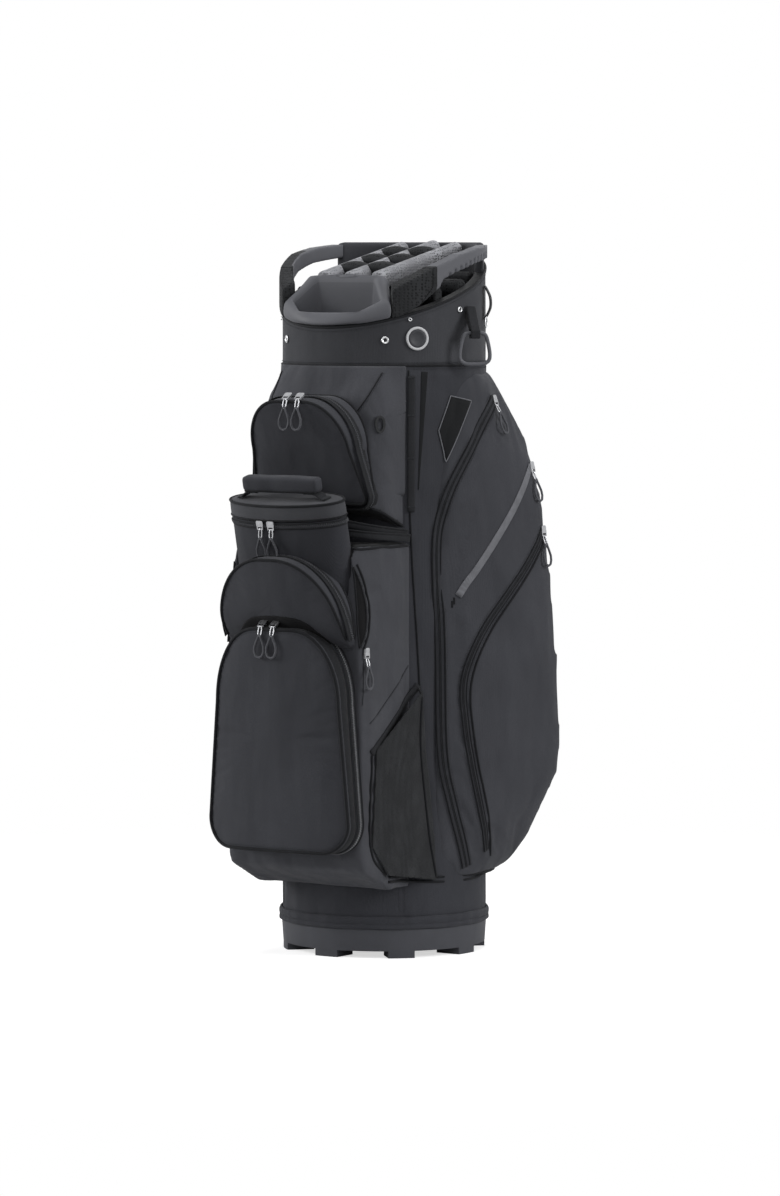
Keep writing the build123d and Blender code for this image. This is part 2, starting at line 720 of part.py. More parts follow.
# Oval cord ports on the slanted facets of the upper shoulder
PORT_SPOT = Vector(90.3, -139.0, 680.0)
PORT_FACE = Vector(19.0, -13.0, 0.0).normalized()
with BuildPart() as cord_ports:
    for side in (1, -1):
        face = Vector(side * PORT_FACE.X, PORT_FACE.Y, 0)
        spot = Vector(side * PORT_SPOT.X, PORT_SPOT.Y, PORT_SPOT.Z) + face * 1.2
        with BuildSketch(Plane(origin=spot, x_dir=(0, 0, 1), z_dir=face)):
            Ellipse(11, 7)
            Ellipse(8, 4, mode=Mode.SUBTRACT)
        extrude(amount=2.2)
save(cord_ports.part, "cord_ports")

# Shoulder strap hanging down the back between two anchors
STRAP_W = 46.0
STRAP_T = 6.0
STRAP_Y = TUBE_R + 3.0
STRAP_BOW = 26.0
STRAP_TOP = 792.0
STRAP_LOW = 330.0
with BuildPart() as shoulder_strap:
    mid = (STRAP_TOP + STRAP_LOW) / 2
    with BuildSketch(Plane.YZ.offset(-STRAP_W / 2)):
        with BuildLine():
            ThreePointArc((STRAP_Y, STRAP_LOW), (STRAP_Y + STRAP_BOW, mid), (STRAP_Y, STRAP_TOP))
            Line((STRAP_Y, STRAP_TOP), (STRAP_Y + STRAP_T, STRAP_TOP))
            ThreePointArc(
                (STRAP_Y + STRAP_T, STRAP_TOP),
                (STRAP_Y + STRAP_BOW + STRAP_T, mid),
                (STRAP_Y + STRAP_T, STRAP_LOW),
            )
            Line((STRAP_Y + STRAP_T, STRAP_LOW), (STRAP_Y, STRAP_LOW))
        make_face()
    extrude(amount=STRAP_W)
save(shoulder_strap.part, "shoulder_strap")

with BuildPart() as strap_anchors:
    for z in (STRAP_TOP + 13, STRAP_LOW - 13):
        with Locations((0, TUBE_R + 4.2, z)):
            Box(30, 7, 25)
save(strap_anchors.part, "strap_anchors")


# Zip sliders and their teardrop pulls
SLIDER_LIFT = 0.5
SLIDER_T = 2.4
LUG_X = 4.1
LUG_W = 1.6
PIN_R = 0.8
PIN_AHEAD = 2.6
EYE_R = 1.5
EYE_CLEAR = 0.08
EYE_LEN = 5.6
PULL_T = 2.0
PULL_END_R = 5.5


def teardrop(small_r, small_x, large_r):
    """Hull of a small and a large circle, the outline of a pull or of its hole."""
    with BuildSketch(mode=Mode.PRIVATE) as drop:
        with Locations((small_x, 0)):
            Circle(small_r)
        with Locations((PULL_LEN - PULL_END_R, 0)):
            Circle(large_r)
        make_hull()
    return drop.sketch


def zip_pair(name, origin, normal, fall, size, hang=None, facing=None):
    """Slider over the surface at origin and the loop that hangs from its cross pin.

    Fall lies in the surface and points to the slider's pinned end; size is across and along it.
    """
    normal = Vector(normal).normalized()
    fall = Vector(fall).normalized()
    hang = Vector(hang).normalized() if hang else fall
    facing = Vector(facing).normalized() if facing else normal
    across = fall.cross(normal)
    wide, long = size
    reach = long / 2 + PIN_AHEAD
    seat = Plane(origin=Vector(origin) + normal * SLIDER_LIFT, x_dir=fall, z_dir=normal)
    pivot = seat.from_local_coords((reach, 0, SLIDER_T / 2))
    with BuildPart() as slider:
        with BuildSketch(seat):
            RectangleRounded(long, wide, 2.2)
            with Locations(((reach + 1) / 2 + 0.5, LUG_X), ((reach + 1) / 2 + 0.5, -LUG_X)):
                Rectangle(reach, LUG_W)
        extrude(amount=SLIDER_T)
        with BuildSketch(Plane(origin=pivot, x_dir=fall, z_dir=across)):
            Circle(PIN_R)
        extrude(amount=LUG_X, both=True)
    save(slider.part, f"{name}_slider")
    with BuildPart() as pull:
        with BuildSketch(Plane(origin=pivot, x_dir=hang, z_dir=facing)):
            add(teardrop(EYE_LEN / 2, EYE_LEN / 2, PULL_END_R))
            add(teardrop(1.4, EYE_LEN - 0.4, PULL_END_R - 2.3), mode=Mode.SUBTRACT)
        extrude(amount=PULL_T / 2, both=True)
        with BuildSketch(Plane(origin=pivot, x_dir=hang, z_dir=across)):
            Circle(EYE_R)
        extrude(amount=EYE_LEN / 2, both=True)
        with BuildSketch(Plane(origin=pivot, x_dir=hang, z_dir=across)):
            Circle(PIN_R + EYE_CLEAR)
        extrude(amount=LUG_X, both=True, mode=Mode.SUBTRACT)
    save(pull.part, f"{name}_pull")
    print(name, "pivot", [round(v, 3) for v in pivot], "axis", [round(v, 5) for v in across])


DOWN = (0, 0, -1)
AHEAD = (0, -1, 0)
EDGE_NORMAL = (0, -0.6, 0.8)
EDGE_FALL = (0, -0.8, -0.6)
EDGE_SET = 4.2
CROSSWISE = (11.0, 8.0)
LENGTHWISE = (9.0, 10.0)


def bulge_back(x, radius):
    """How far a crowned panel falls back at a distance from its middle."""
    return radius - sqrt(radius**2 - x * x)


for pair_name, x in (("upper_zip_left", -4.0), ("upper_zip_right", 15.0)):
    spot = (x, UPPER_CROWN_Y + bulge_back(x, UPPER_CROWN_R) + EDGE_SET, UPPER_Z[1] + EDGE_SET)
    zip_pair(pair_name, spot, EDGE_NORMAL, EDGE_FALL, CROSSWISE, DOWN, AHEAD)
for pair_name, x in (("lower_zip_left", -17.0), ("lower_zip_right", 2.0)):
    spot = (x, LOWER_CROWN_Y + bulge_back(x, CROWN_R) + EDGE_SET, LOWER_Z[1] + EDGE_SET)
    zip_pair(pair_name, spot, EDGE_NORMAL, EDGE_FALL, CROSSWISE, DOWN, AHEAD)

COOLER_CURVE = COOLER_A**2 / COOLER_B
for pair_name, x in (("cooler_zip_left", -20.0), ("cooler_zip_right", -3.0)):
    spot = COOLER_PLANE.from_local_coords((x, -COOLER_B * sqrt(1 - (x / COOLER_A) ** 2) - 0.4, -2))
    out = COOLER_PLANE.from_local_coords((x / COOLER_CURVE, -1, 0)) - COOLER_PLANE.origin
    zip_pair(pair_name, spot, out, COOLER_UP * -1, CROSSWISE)

zip_pair("gusset_zip", (FRONT_HALF + 0.2, FRONT_Y + 10, 397), (1, 0, 0), DOWN, LENGTHWISE)


def pocket_point(y, z):
    """Where the right side pocket's outer face lies at a given depth and height."""
    hits = right_side_pocket.part.find_intersection_points(Axis((400, y, z), (-1, 0, 0)))
    return max(hits, key=lambda hit: hit[0].X)


SIDE_ZIPS = (
    ("side_zip_front", (46, 708), (0, 640), (-46, 570)),
    ("side_zip_middle", (96, 622), (36, 538), (-30, 458)),
    ("side_zip_rear", (104, 540), (66, 496), (32, 456)),
)
for pair_name, start, middle, end in SIDE_ZIPS:
    points = [pocket_point(*spot) for spot in (start, middle, end)]
    print(pair_name, "path", [[round(v, 2) for v in p[0]] for p in points])
    at, normal = points[0]
    normal = normal if normal.X > 0 else normal * -1
    fall = Vector(DOWN) - normal * Vector(DOWN).dot(normal)
    zip_pair(pair_name, at, normal, fall, LENGTHWISE)
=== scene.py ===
import json
import math

import bmesh
import bpy
import numpy as np
from mathutils import Matrix, Vector
from mathutils.bvhtree import BVHTree


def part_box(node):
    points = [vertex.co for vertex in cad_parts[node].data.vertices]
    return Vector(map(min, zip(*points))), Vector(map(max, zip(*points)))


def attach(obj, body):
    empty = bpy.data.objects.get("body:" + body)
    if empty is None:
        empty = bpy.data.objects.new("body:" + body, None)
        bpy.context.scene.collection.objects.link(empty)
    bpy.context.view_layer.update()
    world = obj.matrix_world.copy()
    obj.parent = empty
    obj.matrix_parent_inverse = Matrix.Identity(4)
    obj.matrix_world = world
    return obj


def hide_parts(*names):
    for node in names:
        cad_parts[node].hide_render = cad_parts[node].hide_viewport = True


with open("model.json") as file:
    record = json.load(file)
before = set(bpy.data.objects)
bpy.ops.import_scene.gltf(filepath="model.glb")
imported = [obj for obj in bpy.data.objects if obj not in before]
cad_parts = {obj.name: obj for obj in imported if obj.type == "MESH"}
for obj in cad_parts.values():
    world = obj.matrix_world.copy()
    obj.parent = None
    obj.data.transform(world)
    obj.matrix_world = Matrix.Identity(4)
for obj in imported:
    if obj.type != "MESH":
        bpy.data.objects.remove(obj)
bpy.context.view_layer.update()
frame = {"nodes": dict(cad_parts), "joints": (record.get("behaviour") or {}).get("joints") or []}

# Golf cart bag: fabric, padding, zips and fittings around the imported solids.
# Helpers take millimetres in the bag's own frame; meshes are stored in metres.
MM = 0.001

# Main sizes of the solids, repeated here because this script stands alone
TUBE_R, TUBE_LOW, SEAM_Z, TUBE_SEAMS = 132.0, 37.2, 752.0, (45, 135, 225, 315)
CUFF_R, CUFF_FRONT_Y, CUFF_FRONT_Z, CUFF_RISE = 131.0, -133.0, 801.0, 0.365
FRONT_Y = -200.0
LOWER_HALF, LOWER_TAPER, LOWER_Z = 109.0, 13.0, (143.0, 426.0)
LOWER_SHOULDER_X, LOWER_SHOULDER_Z = 66, 94
LOWER_ZIP_Y, LOWER_EDGE_Y, LOWER_CROWN_Y = -214.0, -230.0, -244.0
MID_HALF, MID_Z, MID_EDGE_Y, MID_CROWN_Y = 94.0, (400.5, 514.0), -249.5, -257.8
UPPER_HALF, UPPER_Z, UPPER_EDGE_Y, UPPER_CROWN_Y = 82.0, (577.0, 711.0), -205.0, -208.0
MID_LEAN, UPPER_LEAN, COOLER_LEAN = math.radians(15.0), math.radians(20.0), math.radians(13.0)
COOLER_SEAM, COOLER_A, COOLER_B = (0.0, -208.0, 566.0), 85.0, 35.0
RAIL_X, RAIL_MID_Z, RAIL_RISE, CROSS_YS = 42.0, 885.0, 0.21, (-34.0, 11.0, 56.0)


def srgb(*levels):
    """Linear colour of a shade written in 0-255 steps."""
    return [((v / 255 + 0.055) / 1.055) ** 2.4 if v > 10 else v / 255 / 12.92 for v in levels]


def bearing(radius, angle, z):
    """Point round the tube's axis; the angle runs from the front toward +X."""
    a = math.radians(angle)
    return np.array((radius * math.sin(a), -radius * math.cos(a), z))


def cuff_top(y):
    return CUFF_FRONT_Z + CUFF_RISE * (y - CUFF_FRONT_Y)


def outward(angles):
    """Directions away from the tube's axis."""
    return np.array([bearing(1, a, 0) for a in angles])


def full_turn(count, whole=2 * math.pi):
    """Equal steps round a circle."""
    return np.linspace(0, whole, count, endpoint=False)


# Finishes


def node(tree, kind, sockets=None, **settings):
    made = tree.nodes.new(kind)
    for key, value in settings.items():
        setattr(made, key, value)
    for socket, source in (sockets or {}).items():
        if isinstance(source, bpy.types.NodeSocket):
            tree.links.new(source, made.inputs[socket])
        else:
            made.inputs[socket].default_value = source
    return made


def start_finish(name, roughness, metallic=0.0, sheen=0.0, gloss=0.5):
    material = bpy.data.materials.new(name)
    material.use_nodes = True
    tree = material.node_tree
    shader = tree.nodes["Principled BSDF"]
    shader.inputs["Roughness"].default_value = roughness
    shader.inputs["Metallic"].default_value = metallic
    shader.inputs["Specular IOR Level"].default_value = gloss
    shader.inputs["Sheen Weight"].default_value = sheen
    shader.inputs["Sheen Roughness"].default_value = 0.5
    place = node(tree, "ShaderNodeTexCoord").outputs["Object"]
    return material, tree, shader, place


def mixed(tree, share, low, high):
    """Colour between two others by a share that a texture gives."""
    low, high = (c if isinstance(c, bpy.types.NodeSocket) else (*c, 1.0) for c in (low, high))
    return node(tree, "ShaderNodeMix", {0: share, 6: low, 7: high}, data_type="RGBA").outputs[2]


def noise(tree, place, size, detail=2.0):
    """Cloudy texture whose patches are about size metres across."""
    made = node(tree, "ShaderNodeTexNoise", {"Vector": place, "Scale": 1.0 / size, "Detail": detail})
    return made.outputs["Fac"]


def ramped(tree, source, low, high):
    """Texture value stretched so that low gives 0 and high gives 1."""
    made = node(tree, "ShaderNodeMapRange", {"Value": source, "From Min": low, "From Max": high})
    return made.outputs[0]


def patches(tree, place, size, low, high, detail=2.0):
    """Cloudy texture with soft patches between its low and high values."""
    return ramped(tree, noise(tree, place, size, detail), low, high)


def bands(tree, place, period, direction="Z", turn=0.0):
    """Fine ridges with a period in metres."""
    turned = node(tree, "ShaderNodeMapping", {"Vector": place, "Rotation": (0.0, 0.0, turn)}).outputs[0]
    sockets = {"Vector": turned, "Scale": 2 * math.pi / (20 * period)}
    return node(tree, "ShaderNodeTexWave", sockets, bands_direction=direction).outputs["Fac"]


def crossed(tree, place, period, other, how="MULTIPLY"):
    """Two sets of ridges across each other."""
    return product(tree, bands(tree, place, period), bands(tree, place, other, "X", math.pi / 4), how)


def product(tree, a, b, how="MULTIPLY"):
    made = node(tree, "ShaderNodeMath", {0: a, 1: b}, operation=how)
    return made.outputs[0]


def raise_by(tree, shader, height, strength, depth, under=None):
    """Relief from a texture, over a broader relief if one is given."""
    bump = node(tree, "ShaderNodeBump", {"Height": height, "Strength": strength, "Distance": depth})
    if under is not None:
        tree.links.new(under, bump.inputs["Normal"])
    tree.links.new(bump.outputs[0], shader.inputs["Normal"])
    return bump.outputs[0]


def coloured(tree, shader, shade):
    tree.links.new(shade, shader.inputs["Base Color"])


def dulled(tree, shader, share, roughness, by):
    """Roughness that grows by a share that a texture gives."""
    dull = node(tree, "ShaderNodeMapRange", {"Value": share, "To Min": roughness, "To Max": roughness + by})
    tree.links.new(dull.outputs[0], shader.inputs["Roughness"])


def shifted(colour, factor):
    return [min(1.0, c * factor) for c in colour]


FLECK, CLOUD, CREASE, CREASE_STRETCH, CREASE_DEPTH = 0.0016, 0.075, 0.046, 0.45, 0.022


def woven_finish(name, colour, thread=0.0009, relief=0.35, roughness=0.82, crease=0.3):
    """Coated woven cloth: crossing threads, fine flecks, broad soft clouding and slack creases."""
    material, tree, shader, place = start_finish(name, roughness, sheen=0.05, gloss=0.14)
    weave = crossed(tree, place, thread, thread)
    threads = mixed(tree, weave, shifted(colour, 0.86), shifted(colour, 1.1))
    flecked = mixed(tree, patches(tree, place, FLECK, 0.35, 0.75, 3.0), threads, shifted(colour, 1.12))
    coloured(tree, shader, mixed(tree, patches(tree, place, CLOUD, 0.3, 0.8), shifted(colour, 0.84), flecked))
    drawn = node(tree, "ShaderNodeMapping", {"Vector": place, "Scale": (1.0, 1.0, CREASE_STRETCH)})
    slack = raise_by(tree, shader, noise(tree, drawn.outputs[0], CREASE, 1.5), crease, CREASE_DEPTH)
    raise_by(tree, shader, weave, relief, 0.0004, slack)
    return material


def mesh_finish(name, colour, hole, depth):
    """Padded spacer mesh: a close field of small round holes."""
    material, tree, shader, place = start_finish(name, 0.85, sheen=0.05, gloss=0.1)
    cells = node(tree, "ShaderNodeTexVoronoi", {"Vector": place, "Scale": 1.0 / hole, "Randomness": 0.45})
    ridge = ramped(tree, cells.outputs["Distance"], 0.28, 0.48)
    net = mixed(tree, ridge, shifted(colour, depth), shifted(colour, 1.15))
    coloured(tree, shader, mixed(tree, patches(tree, place, 0.03, 0.3, 0.75), shifted(colour, 0.7), net))
    raise_by(tree, shader, ridge, 0.6, 0.0008)
    return material


def webbing_finish(name, colour, rib=0.0016):
    """Ribbed narrow webbing."""
    material, tree, shader, place = start_finish(name, 0.72, sheen=0.04, gloss=0.15)
    ribs = crossed(tree, place, rib, rib * 0.7, "MAXIMUM")
    ribbed = mixed(tree, ribs, shifted(colour, 0.65), shifted(colour, 1.2))
    coloured(tree, shader, mixed(tree, patches(tree, place, 0.012, 0.3, 0.75), shifted(colour, 0.8), ribbed))
    raise_by(tree, shader, ribs, 0.4, 0.0004)
    return material


def moulded_finish(name, colour, roughness=0.5, grain=0.0007):
    """Fine-grained moulded plastic, a little rubbed in patches."""
    material, tree, shader, place = start_finish(name, roughness, gloss=0.22)
    fine = noise(tree, place, grain, 2.0)
    rubs = patches(tree, place, 0.03, 0.45, 0.75, 4.0)
    grainy = mixed(tree, fine, shifted(colour, 0.9), shifted(colour, 1.08))
    coloured(tree, shader, mixed(tree, rubs, grainy, shifted(colour, 1.12)))
    dulled(tree, shader, rubs, roughness, 0.14)
    raise_by(tree, shader, fine, 0.25, 0.0003)
    return material


def metal_finish(name, colour, roughness):
    """Plated metal with faint tarnish and scuffs."""
    material, tree, shader, place = start_finish(name, roughness, metallic=1.0)
    tarnish = patches(tree, place, 0.004, 0.35, 0.8, 4.0)
    coloured(tree, shader, mixed(tree, tarnish, colour, shifted(colour, 0.6)))
    dulled(tree, shader, tarnish, roughness, 0.2)
    raise_by(tree, shader, noise(tree, place, 0.0006, 3.0), 0.1, 0.0002)
    return material


SHELL = woven_finish("shell_cloth", srgb(73, 74, 79), crease=0.7)
PANEL = woven_finish("front_panel_cloth", srgb(64, 65, 70))
SIDE = woven_finish("side_pocket_cloth", srgb(67, 68, 73), crease=0.6)
BAND = woven_finish("lower_tube_cloth", srgb(58, 59, 64), crease=0.5)
CUFF = woven_finish("cuff_cloth", srgb(68, 69, 73), roughness=0.8)
COOLER = woven_finish("cooler_cloth", srgb(58, 59, 64))
LID = woven_finish("cooler_lid_cloth", srgb(78, 79, 83))
LINING = woven_finish("dark_lining", srgb(25, 26, 28), thread=0.0012)
FOIL = woven_finish("insulated_lining", srgb(126, 128, 132), thread=0.004, roughness=0.45)
# Near-black cloth used only as painted shade: the inside of the open slit and the recess under the middle
# pocket
PAINTED_SHADE = woven_finish("slit_lining", srgb(11, 11, 13), thread=0.0012)
PIPING = woven_finish("piping_cord_cover", srgb(27, 28, 31), thread=0.0007, relief=0.5)
BINDING = webbing_finish("binding_tape", srgb(31, 32, 35), rib=0.0012)
WEBBING = webbing_finish("black_webbing", srgb(36, 37, 40))
TAPE = webbing_finish("zip_tape", srgb(27, 28, 31), rib=0.001)
ZIP_BAND = webbing_finish("hidden_zip_band", srgb(47, 48, 52), rib=0.001)
TEETH = moulded_finish("zip_teeth", srgb(74, 75, 79), roughness=0.4)
BRIGHT_TEETH = metal_finish("bright_zip_teeth", srgb(122, 123, 126), roughness=0.42)
THREAD = webbing_finish("sewing_thread", srgb(52, 53, 57), rib=0.0005)
PALE_STRIP = webbing_finish("pale_zip_garage", srgb(118, 119, 124), rib=0.0009)
GREY_MESH = mesh_finish("grey_spacer_mesh", srgb(168, 169, 174), hole=0.0036, depth=0.18)
DARK_MESH = mesh_finish("dark_spacer_mesh", srgb(52, 53, 55), hole=0.0038, depth=0.3)
POCKET_MESH = mesh_finish("stretch_mesh", srgb(50, 51, 53), hole=0.0018, depth=0.45)
GREY_PLASTIC = moulded_finish("grey_moulding", srgb(90, 91, 96))
# Darker copy of the grey moulding for the well's inner wall: painted shade of the mouth's recess
SHADED_WELL_PLASTIC = moulded_finish("well_wall_moulding", srgb(80, 81, 86))
BASE_PLASTIC = moulded_finish("base_moulding", srgb(70, 71, 76), roughness=0.56)
GRIP_PLASTIC = moulded_finish("grip_rubber", srgb(94, 95, 100), roughness=0.6, grain=0.0011)
BLACK_PLASTIC = moulded_finish("black_moulding", srgb(30, 31, 33))
STEEL = metal_finish("slider_plating", srgb(176, 177, 180), roughness=0.24)
CHROME = metal_finish("eyelet_plating", srgb(205, 206, 208), roughness=0.18)
CORD = webbing_finish("pull_cord", srgb(92, 93, 98), rib=0.0008)
BADGE_RING = moulded_finish("badge_ring", srgb(206, 207, 210), roughness=0.42)
BADGE_FACE = moulded_finish("badge_face", srgb(60, 61, 65), roughness=0.5)


# Mesh helpers


def linked(name, mesh):
    """New object of the scene."""
    obj = bpy.data.objects.new(name, mesh)
    bpy.context.scene.collection.objects.link(obj)
    return obj


def smooth(obj):
    obj.data.polygons.foreach_set("use_smooth", [True] * len(obj.data.polygons))
    return obj


def smooth_shaded(obj, *finishes):
    obj.data.materials.clear()
    for finish in finishes:
        obj.data.materials.append(finish)
    return smooth(obj)


def mesh_object(name, points, faces, *finishes):
    mesh = bpy.data.meshes.new(name)
    mesh.from_pydata([tuple(float(c) * MM for c in p) for p in points], [], faces)
    mesh.validate()
    return smooth_shaded(linked(name, mesh), *finishes)


def bake(obj):
    """Turns an object's modifiers into plain mesh."""
    graph = bpy.context.evaluated_depsgraph_get()
    mesh = bpy.data.meshes.new_from_object(obj.evaluated_get(graph), depsgraph=graph)
    obj.modifiers.clear()
    obj.data = mesh
    return obj


def changed(obj, kind, **settings):
    """Adds one modifier and bakes it."""
    modifier = obj.modifiers.new(kind.lower(), kind)
    for key, value in settings.items():
        setattr(modifier, key, value)
    return bake(obj)


def thickened(obj, thickness, offset=-1.0):
    return changed(obj, "SOLIDIFY", thickness=thickness * MM, offset=offset)


def tidy_normals(obj):
    bm = bmesh.new()
    bm.from_mesh(obj.data)
    bmesh.ops.remove_doubles(bm, verts=bm.verts, dist=1e-6)
    bmesh.ops.recalc_face_normals(bm, faces=bm.faces)
    bm.to_mesh(obj.data)
    bm.free()
    return smooth(obj)


def settle(obj, body, slot, *nodes):
    """Lets a finished piece ride on its body and hides the solids it stands for; slot is not used."""
    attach(obj, body)
    if nodes:
        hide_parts(*nodes)
    return obj


def settle_both(right, left_name, slot, *nodes):
    """Settles a right-hand piece and its mirror image, with the solid that each stands for."""
    left = mirrored(right, left_name)
    settle(right, "bag", slot, *nodes[:1])
    settle(left, "bag", slot, *nodes[1:])
    return left


def solid_copy(source, name, finish):
    """Merged copy of a solid, to be softened or edged."""
    mesh = frame["nodes"][source].data.copy()
    mesh.name = name
    return tidy_normals(smooth_shaded(linked(name, mesh), finish))


def softened(obj, voxel, passes):
    """Evens out a piece's mesh and wears its edges round."""
    changed(obj, "REMESH", mode="VOXEL", voxel_size=voxel * MM)
    return changed(obj, "SMOOTH", factor=0.5, iterations=passes)


def rounded_copy(source, name, finish, voxel, passes):
    """Copy of a solid whose edges are worn round."""
    return smooth_shaded(softened(solid_copy(source, name, finish), voxel, passes), finish)


def bevelled_copy(source, name, finish, width):
    """Copy of a rigid solid with its sharp edges broken."""
    obj = solid_copy(source, name, finish)
    bm = bmesh.new()
    bm.from_mesh(obj.data)
    bmesh.ops.dissolve_limit(bm, angle_limit=math.radians(4.0), verts=bm.verts, edges=bm.edges)
    bm.to_mesh(obj.data)
    bm.free()
    edge = {"limit_method": "ANGLE", "angle_limit": math.radians(30.0), "harden_normals": False}
    changed(obj, "BEVEL", width=width * MM, segments=3, **edge)
    changed(obj, "TRIANGULATE")
    return changed(obj, "WEIGHTED_NORMAL", keep_sharp=False)


def points_of(obj):
    flat = np.empty(len(obj.data.vertices) * 3, np.float32)
    obj.data.vertices.foreach_get("co", flat)
    return flat.reshape(-1, 3).astype(float) / MM


def set_points(obj, points):
    obj.data.vertices.foreach_set("co", (np.asarray(points) * MM).astype(np.float32).ravel())
    obj.data.update()


CLOTH_FRAMES = 18
CLOTH = {"quality": 4, "mass": 0.3, "tension_stiffness": 12.0, "compression_stiffness": 12.0,
         "bending_stiffness": 0.6, "use_pressure": True}


def swell(obj, pressure, cap, held, slack):
    """Fills a cloth piece with stuffing; held gives how firmly each point is sewn down, from 0 to 1."""
    rest = points_of(obj)
    group = obj.vertex_groups.new(name="sewn")
    group.add([i for i, h in enumerate(held) if h > 0.5], 1.0, "REPLACE")
    cloth = obj.modifiers.new("stuffing", "CLOTH")
    settings = cloth.settings
    for key, value in CLOTH.items():
        setattr(settings, key, value)
    settings.uniform_pressure_force = pressure
    settings.shrink_min = -slack
    settings.effector_weights.gravity = 0.0
    settings.vertex_group_mass = "sewn"
    cloth.point_cache.frame_start = 1
    cloth.point_cache.frame_end = CLOTH_FRAMES
    for step in range(1, CLOTH_FRAMES + 1):
        bpy.context.scene.frame_set(step)
    bake(obj)
    bpy.context.scene.frame_set(1)
    moved = points_of(obj) - rest
    reach = np.linalg.norm(moved, axis=1, keepdims=True)
    set_points(obj, rest + moved * np.minimum(1.0, cap / np.maximum(reach, 1e-9)))
    obj.vertex_groups.clear()
    return obj


def lattice(rings, closed=True, cap_first=False, cap_last=False):
    """Points and faces of a skin over rings with equal counts."""
    count = len(rings[0])
    points = [p for ring in rings for p in ring]
    faces = []
    for r in range(len(rings) - 1):
        for i in range(count if closed else count - 1):
            j = (i + 1) % count
            faces.append((r * count + i, r * count + j, (r + 1) * count + j, (r + 1) * count + i))
    if cap_last:
        middle = len(points)
        points = points + [np.mean(rings[-1], axis=0)]
        start = (len(rings) - 1) * count
        faces += [(start + i, start + (i + 1) % count, middle) for i in range(count)]
    if cap_first:
        faces.append(tuple(reversed(range(count))))
    return points, faces


def skin(name, rings, *finishes, **ends):
    """Cloth or shell over rings with equal counts."""
    return tidy_normals(mesh_object(name, *lattice(rings, **ends), *finishes))


def evenly(points, step=None, count=None, closed=False):
    """The same line with points at equal distances."""
    line = np.asarray(points, float)
    if closed:
        line = np.vstack([line, line[:1]])
    lengths = np.r_[0.0, np.cumsum(np.linalg.norm(np.diff(line, axis=0), axis=1))]
    if count is None:
        count = max(2, int(round(lengths[-1] / step)) + 1)
    at = np.linspace(0.0, lengths[-1], count + 1)[:-1] if closed else np.linspace(0.0, lengths[-1], count)
    return np.stack([np.interp(at, lengths, line[:, k]) for k in range(line.shape[1])], 1)


def smooth_line(points, step):
    """Rounded line through a few given points."""
    p = np.asarray(points, float)
    if len(p) == 2:
        return evenly(p, step)
    ends = np.vstack([2 * p[0] - p[1], p, 2 * p[-1] - p[-2]])
    out = []
    for i in range(1, len(ends) - 2):
        a, b, c, d = ends[i - 1 : i + 3]
        square, cube = 2 * a - 5 * b + 4 * c - d, 3 * b - a - 3 * c + d
        for t in np.linspace(0, 1, 24, endpoint=False):
            out.append(0.5 * (2 * b + (c - a) * t + square * t**2 + cube * t**3))
    out.append(p[-1])
    return evenly(out, step)


def cloth_surface(*objs):
    """Search trees of finished pieces, to lay trim on them."""
    graph = bpy.context.evaluated_depsgraph_get()
    return [BVHTree.FromObject(o, graph) for o in objs]


def laid(trees, points, direction, lift=0.0):
    """Points dropped along a direction onto pieces, with the cloth's normal at each."""
    way = Vector(direction).normalized()
    out, normals = [], []
    for p in points:
        start = Vector(np.asarray(p, float) * MM) - way * 0.4
        best = None
        for tree in trees:
            where, normal, _, far = tree.ray_cast(start, way)
            if where is not None and (best is None or far < best[2]):
                best = (where, normal, far)
        if best is None:
            continue
        normal = best[1] if best[1].dot(way) < 0 else -best[1]
        out.append(np.array(best[0]) / MM + np.array(normal) * lift)
        normals.append(np.array(normal))
    return np.array(out), np.array(normals)


def calm(values, passes=3, closed=False):
    """Averages neighbours along a line."""
    v = np.asarray(values, float)
    for _ in range(passes):
        before, after = np.roll(v, 1, 0), np.roll(v, -1, 0)
        mean = (before + 2 * v + after) / 4
        if not closed:
            mean[0], mean[-1] = v[0], v[-1]
        v = mean
    return v


def unit_rows(v):
    v = np.asarray(v, float)
    return v / np.maximum(np.linalg.norm(v, axis=1, keepdims=True), 1e-9)


def along(points, closed=False):
    """Direction of travel at each point of a line."""
    p = np.asarray(points, float)
    if closed:
        return unit_rows(np.roll(p, -1, 0) - np.roll(p, 1, 0))
    return unit_rows(np.gradient(p, axis=0))


def across_line(points, normals, closed=False):
    """Way across a line, along the cloth."""
    return unit_rows(np.cross(along(points, closed), unit_rows(normals)))


def swept(name, points, normals, section, finish, closed):
    """Section carried along a line on the cloth."""
    p = np.asarray(points, float)
    across = across_line(p, normals, closed)
    up = np.cross(across, along(p, closed))
    rings = [section(k, p[k], across[k], up[k]) for k in range(len(p))]
    if closed:
        rings.append(rings[0])
    points_out, faces = lattice(rings)
    if not closed:
        count = len(rings[0])
        last = (len(rings) - 1) * count
        faces += [tuple(reversed(range(count))), tuple(range(last, last + count))]
    return tidy_normals(mesh_object(name, points_out, faces, finish))


def roll(name, points, normals, radius, finish, closed=False, sides=10):
    """Round cord or piping along a line on the cloth."""
    turns = full_turn(sides)

    def section(_, at, across, up):
        return [at + radius * (math.cos(a) * across + math.sin(a) * up) for a in turns]

    return swept(name, points, normals, section, finish, closed)


TAPE_SECTION = ((-1, 0), (-1, 0.7), (-0.85, 1), (0, 1), (0.85, 1), (1, 0.7), (1, 0))


def tape(name, points, normals, width, thick, finish, closed=False, lift=0.0, bow=0.0):
    """Flat tape along a line, lying on the cloth."""
    half = np.broadcast_to(np.asarray(width, float) / 2, (len(points),))

    def section(k, at, across, up):
        heights = [lift + h * thick + bow * (1 - s * s) * (h > 0) for s, h in TAPE_SECTION]
        return [at + across * s * half[k] + up * h for (s, _), h in zip(TAPE_SECTION, heights)]

    return swept(name, points, normals, section, finish, closed)


ROW_SIZES = ("Spacing", "Along", "Across", "Height", "Side Shift")


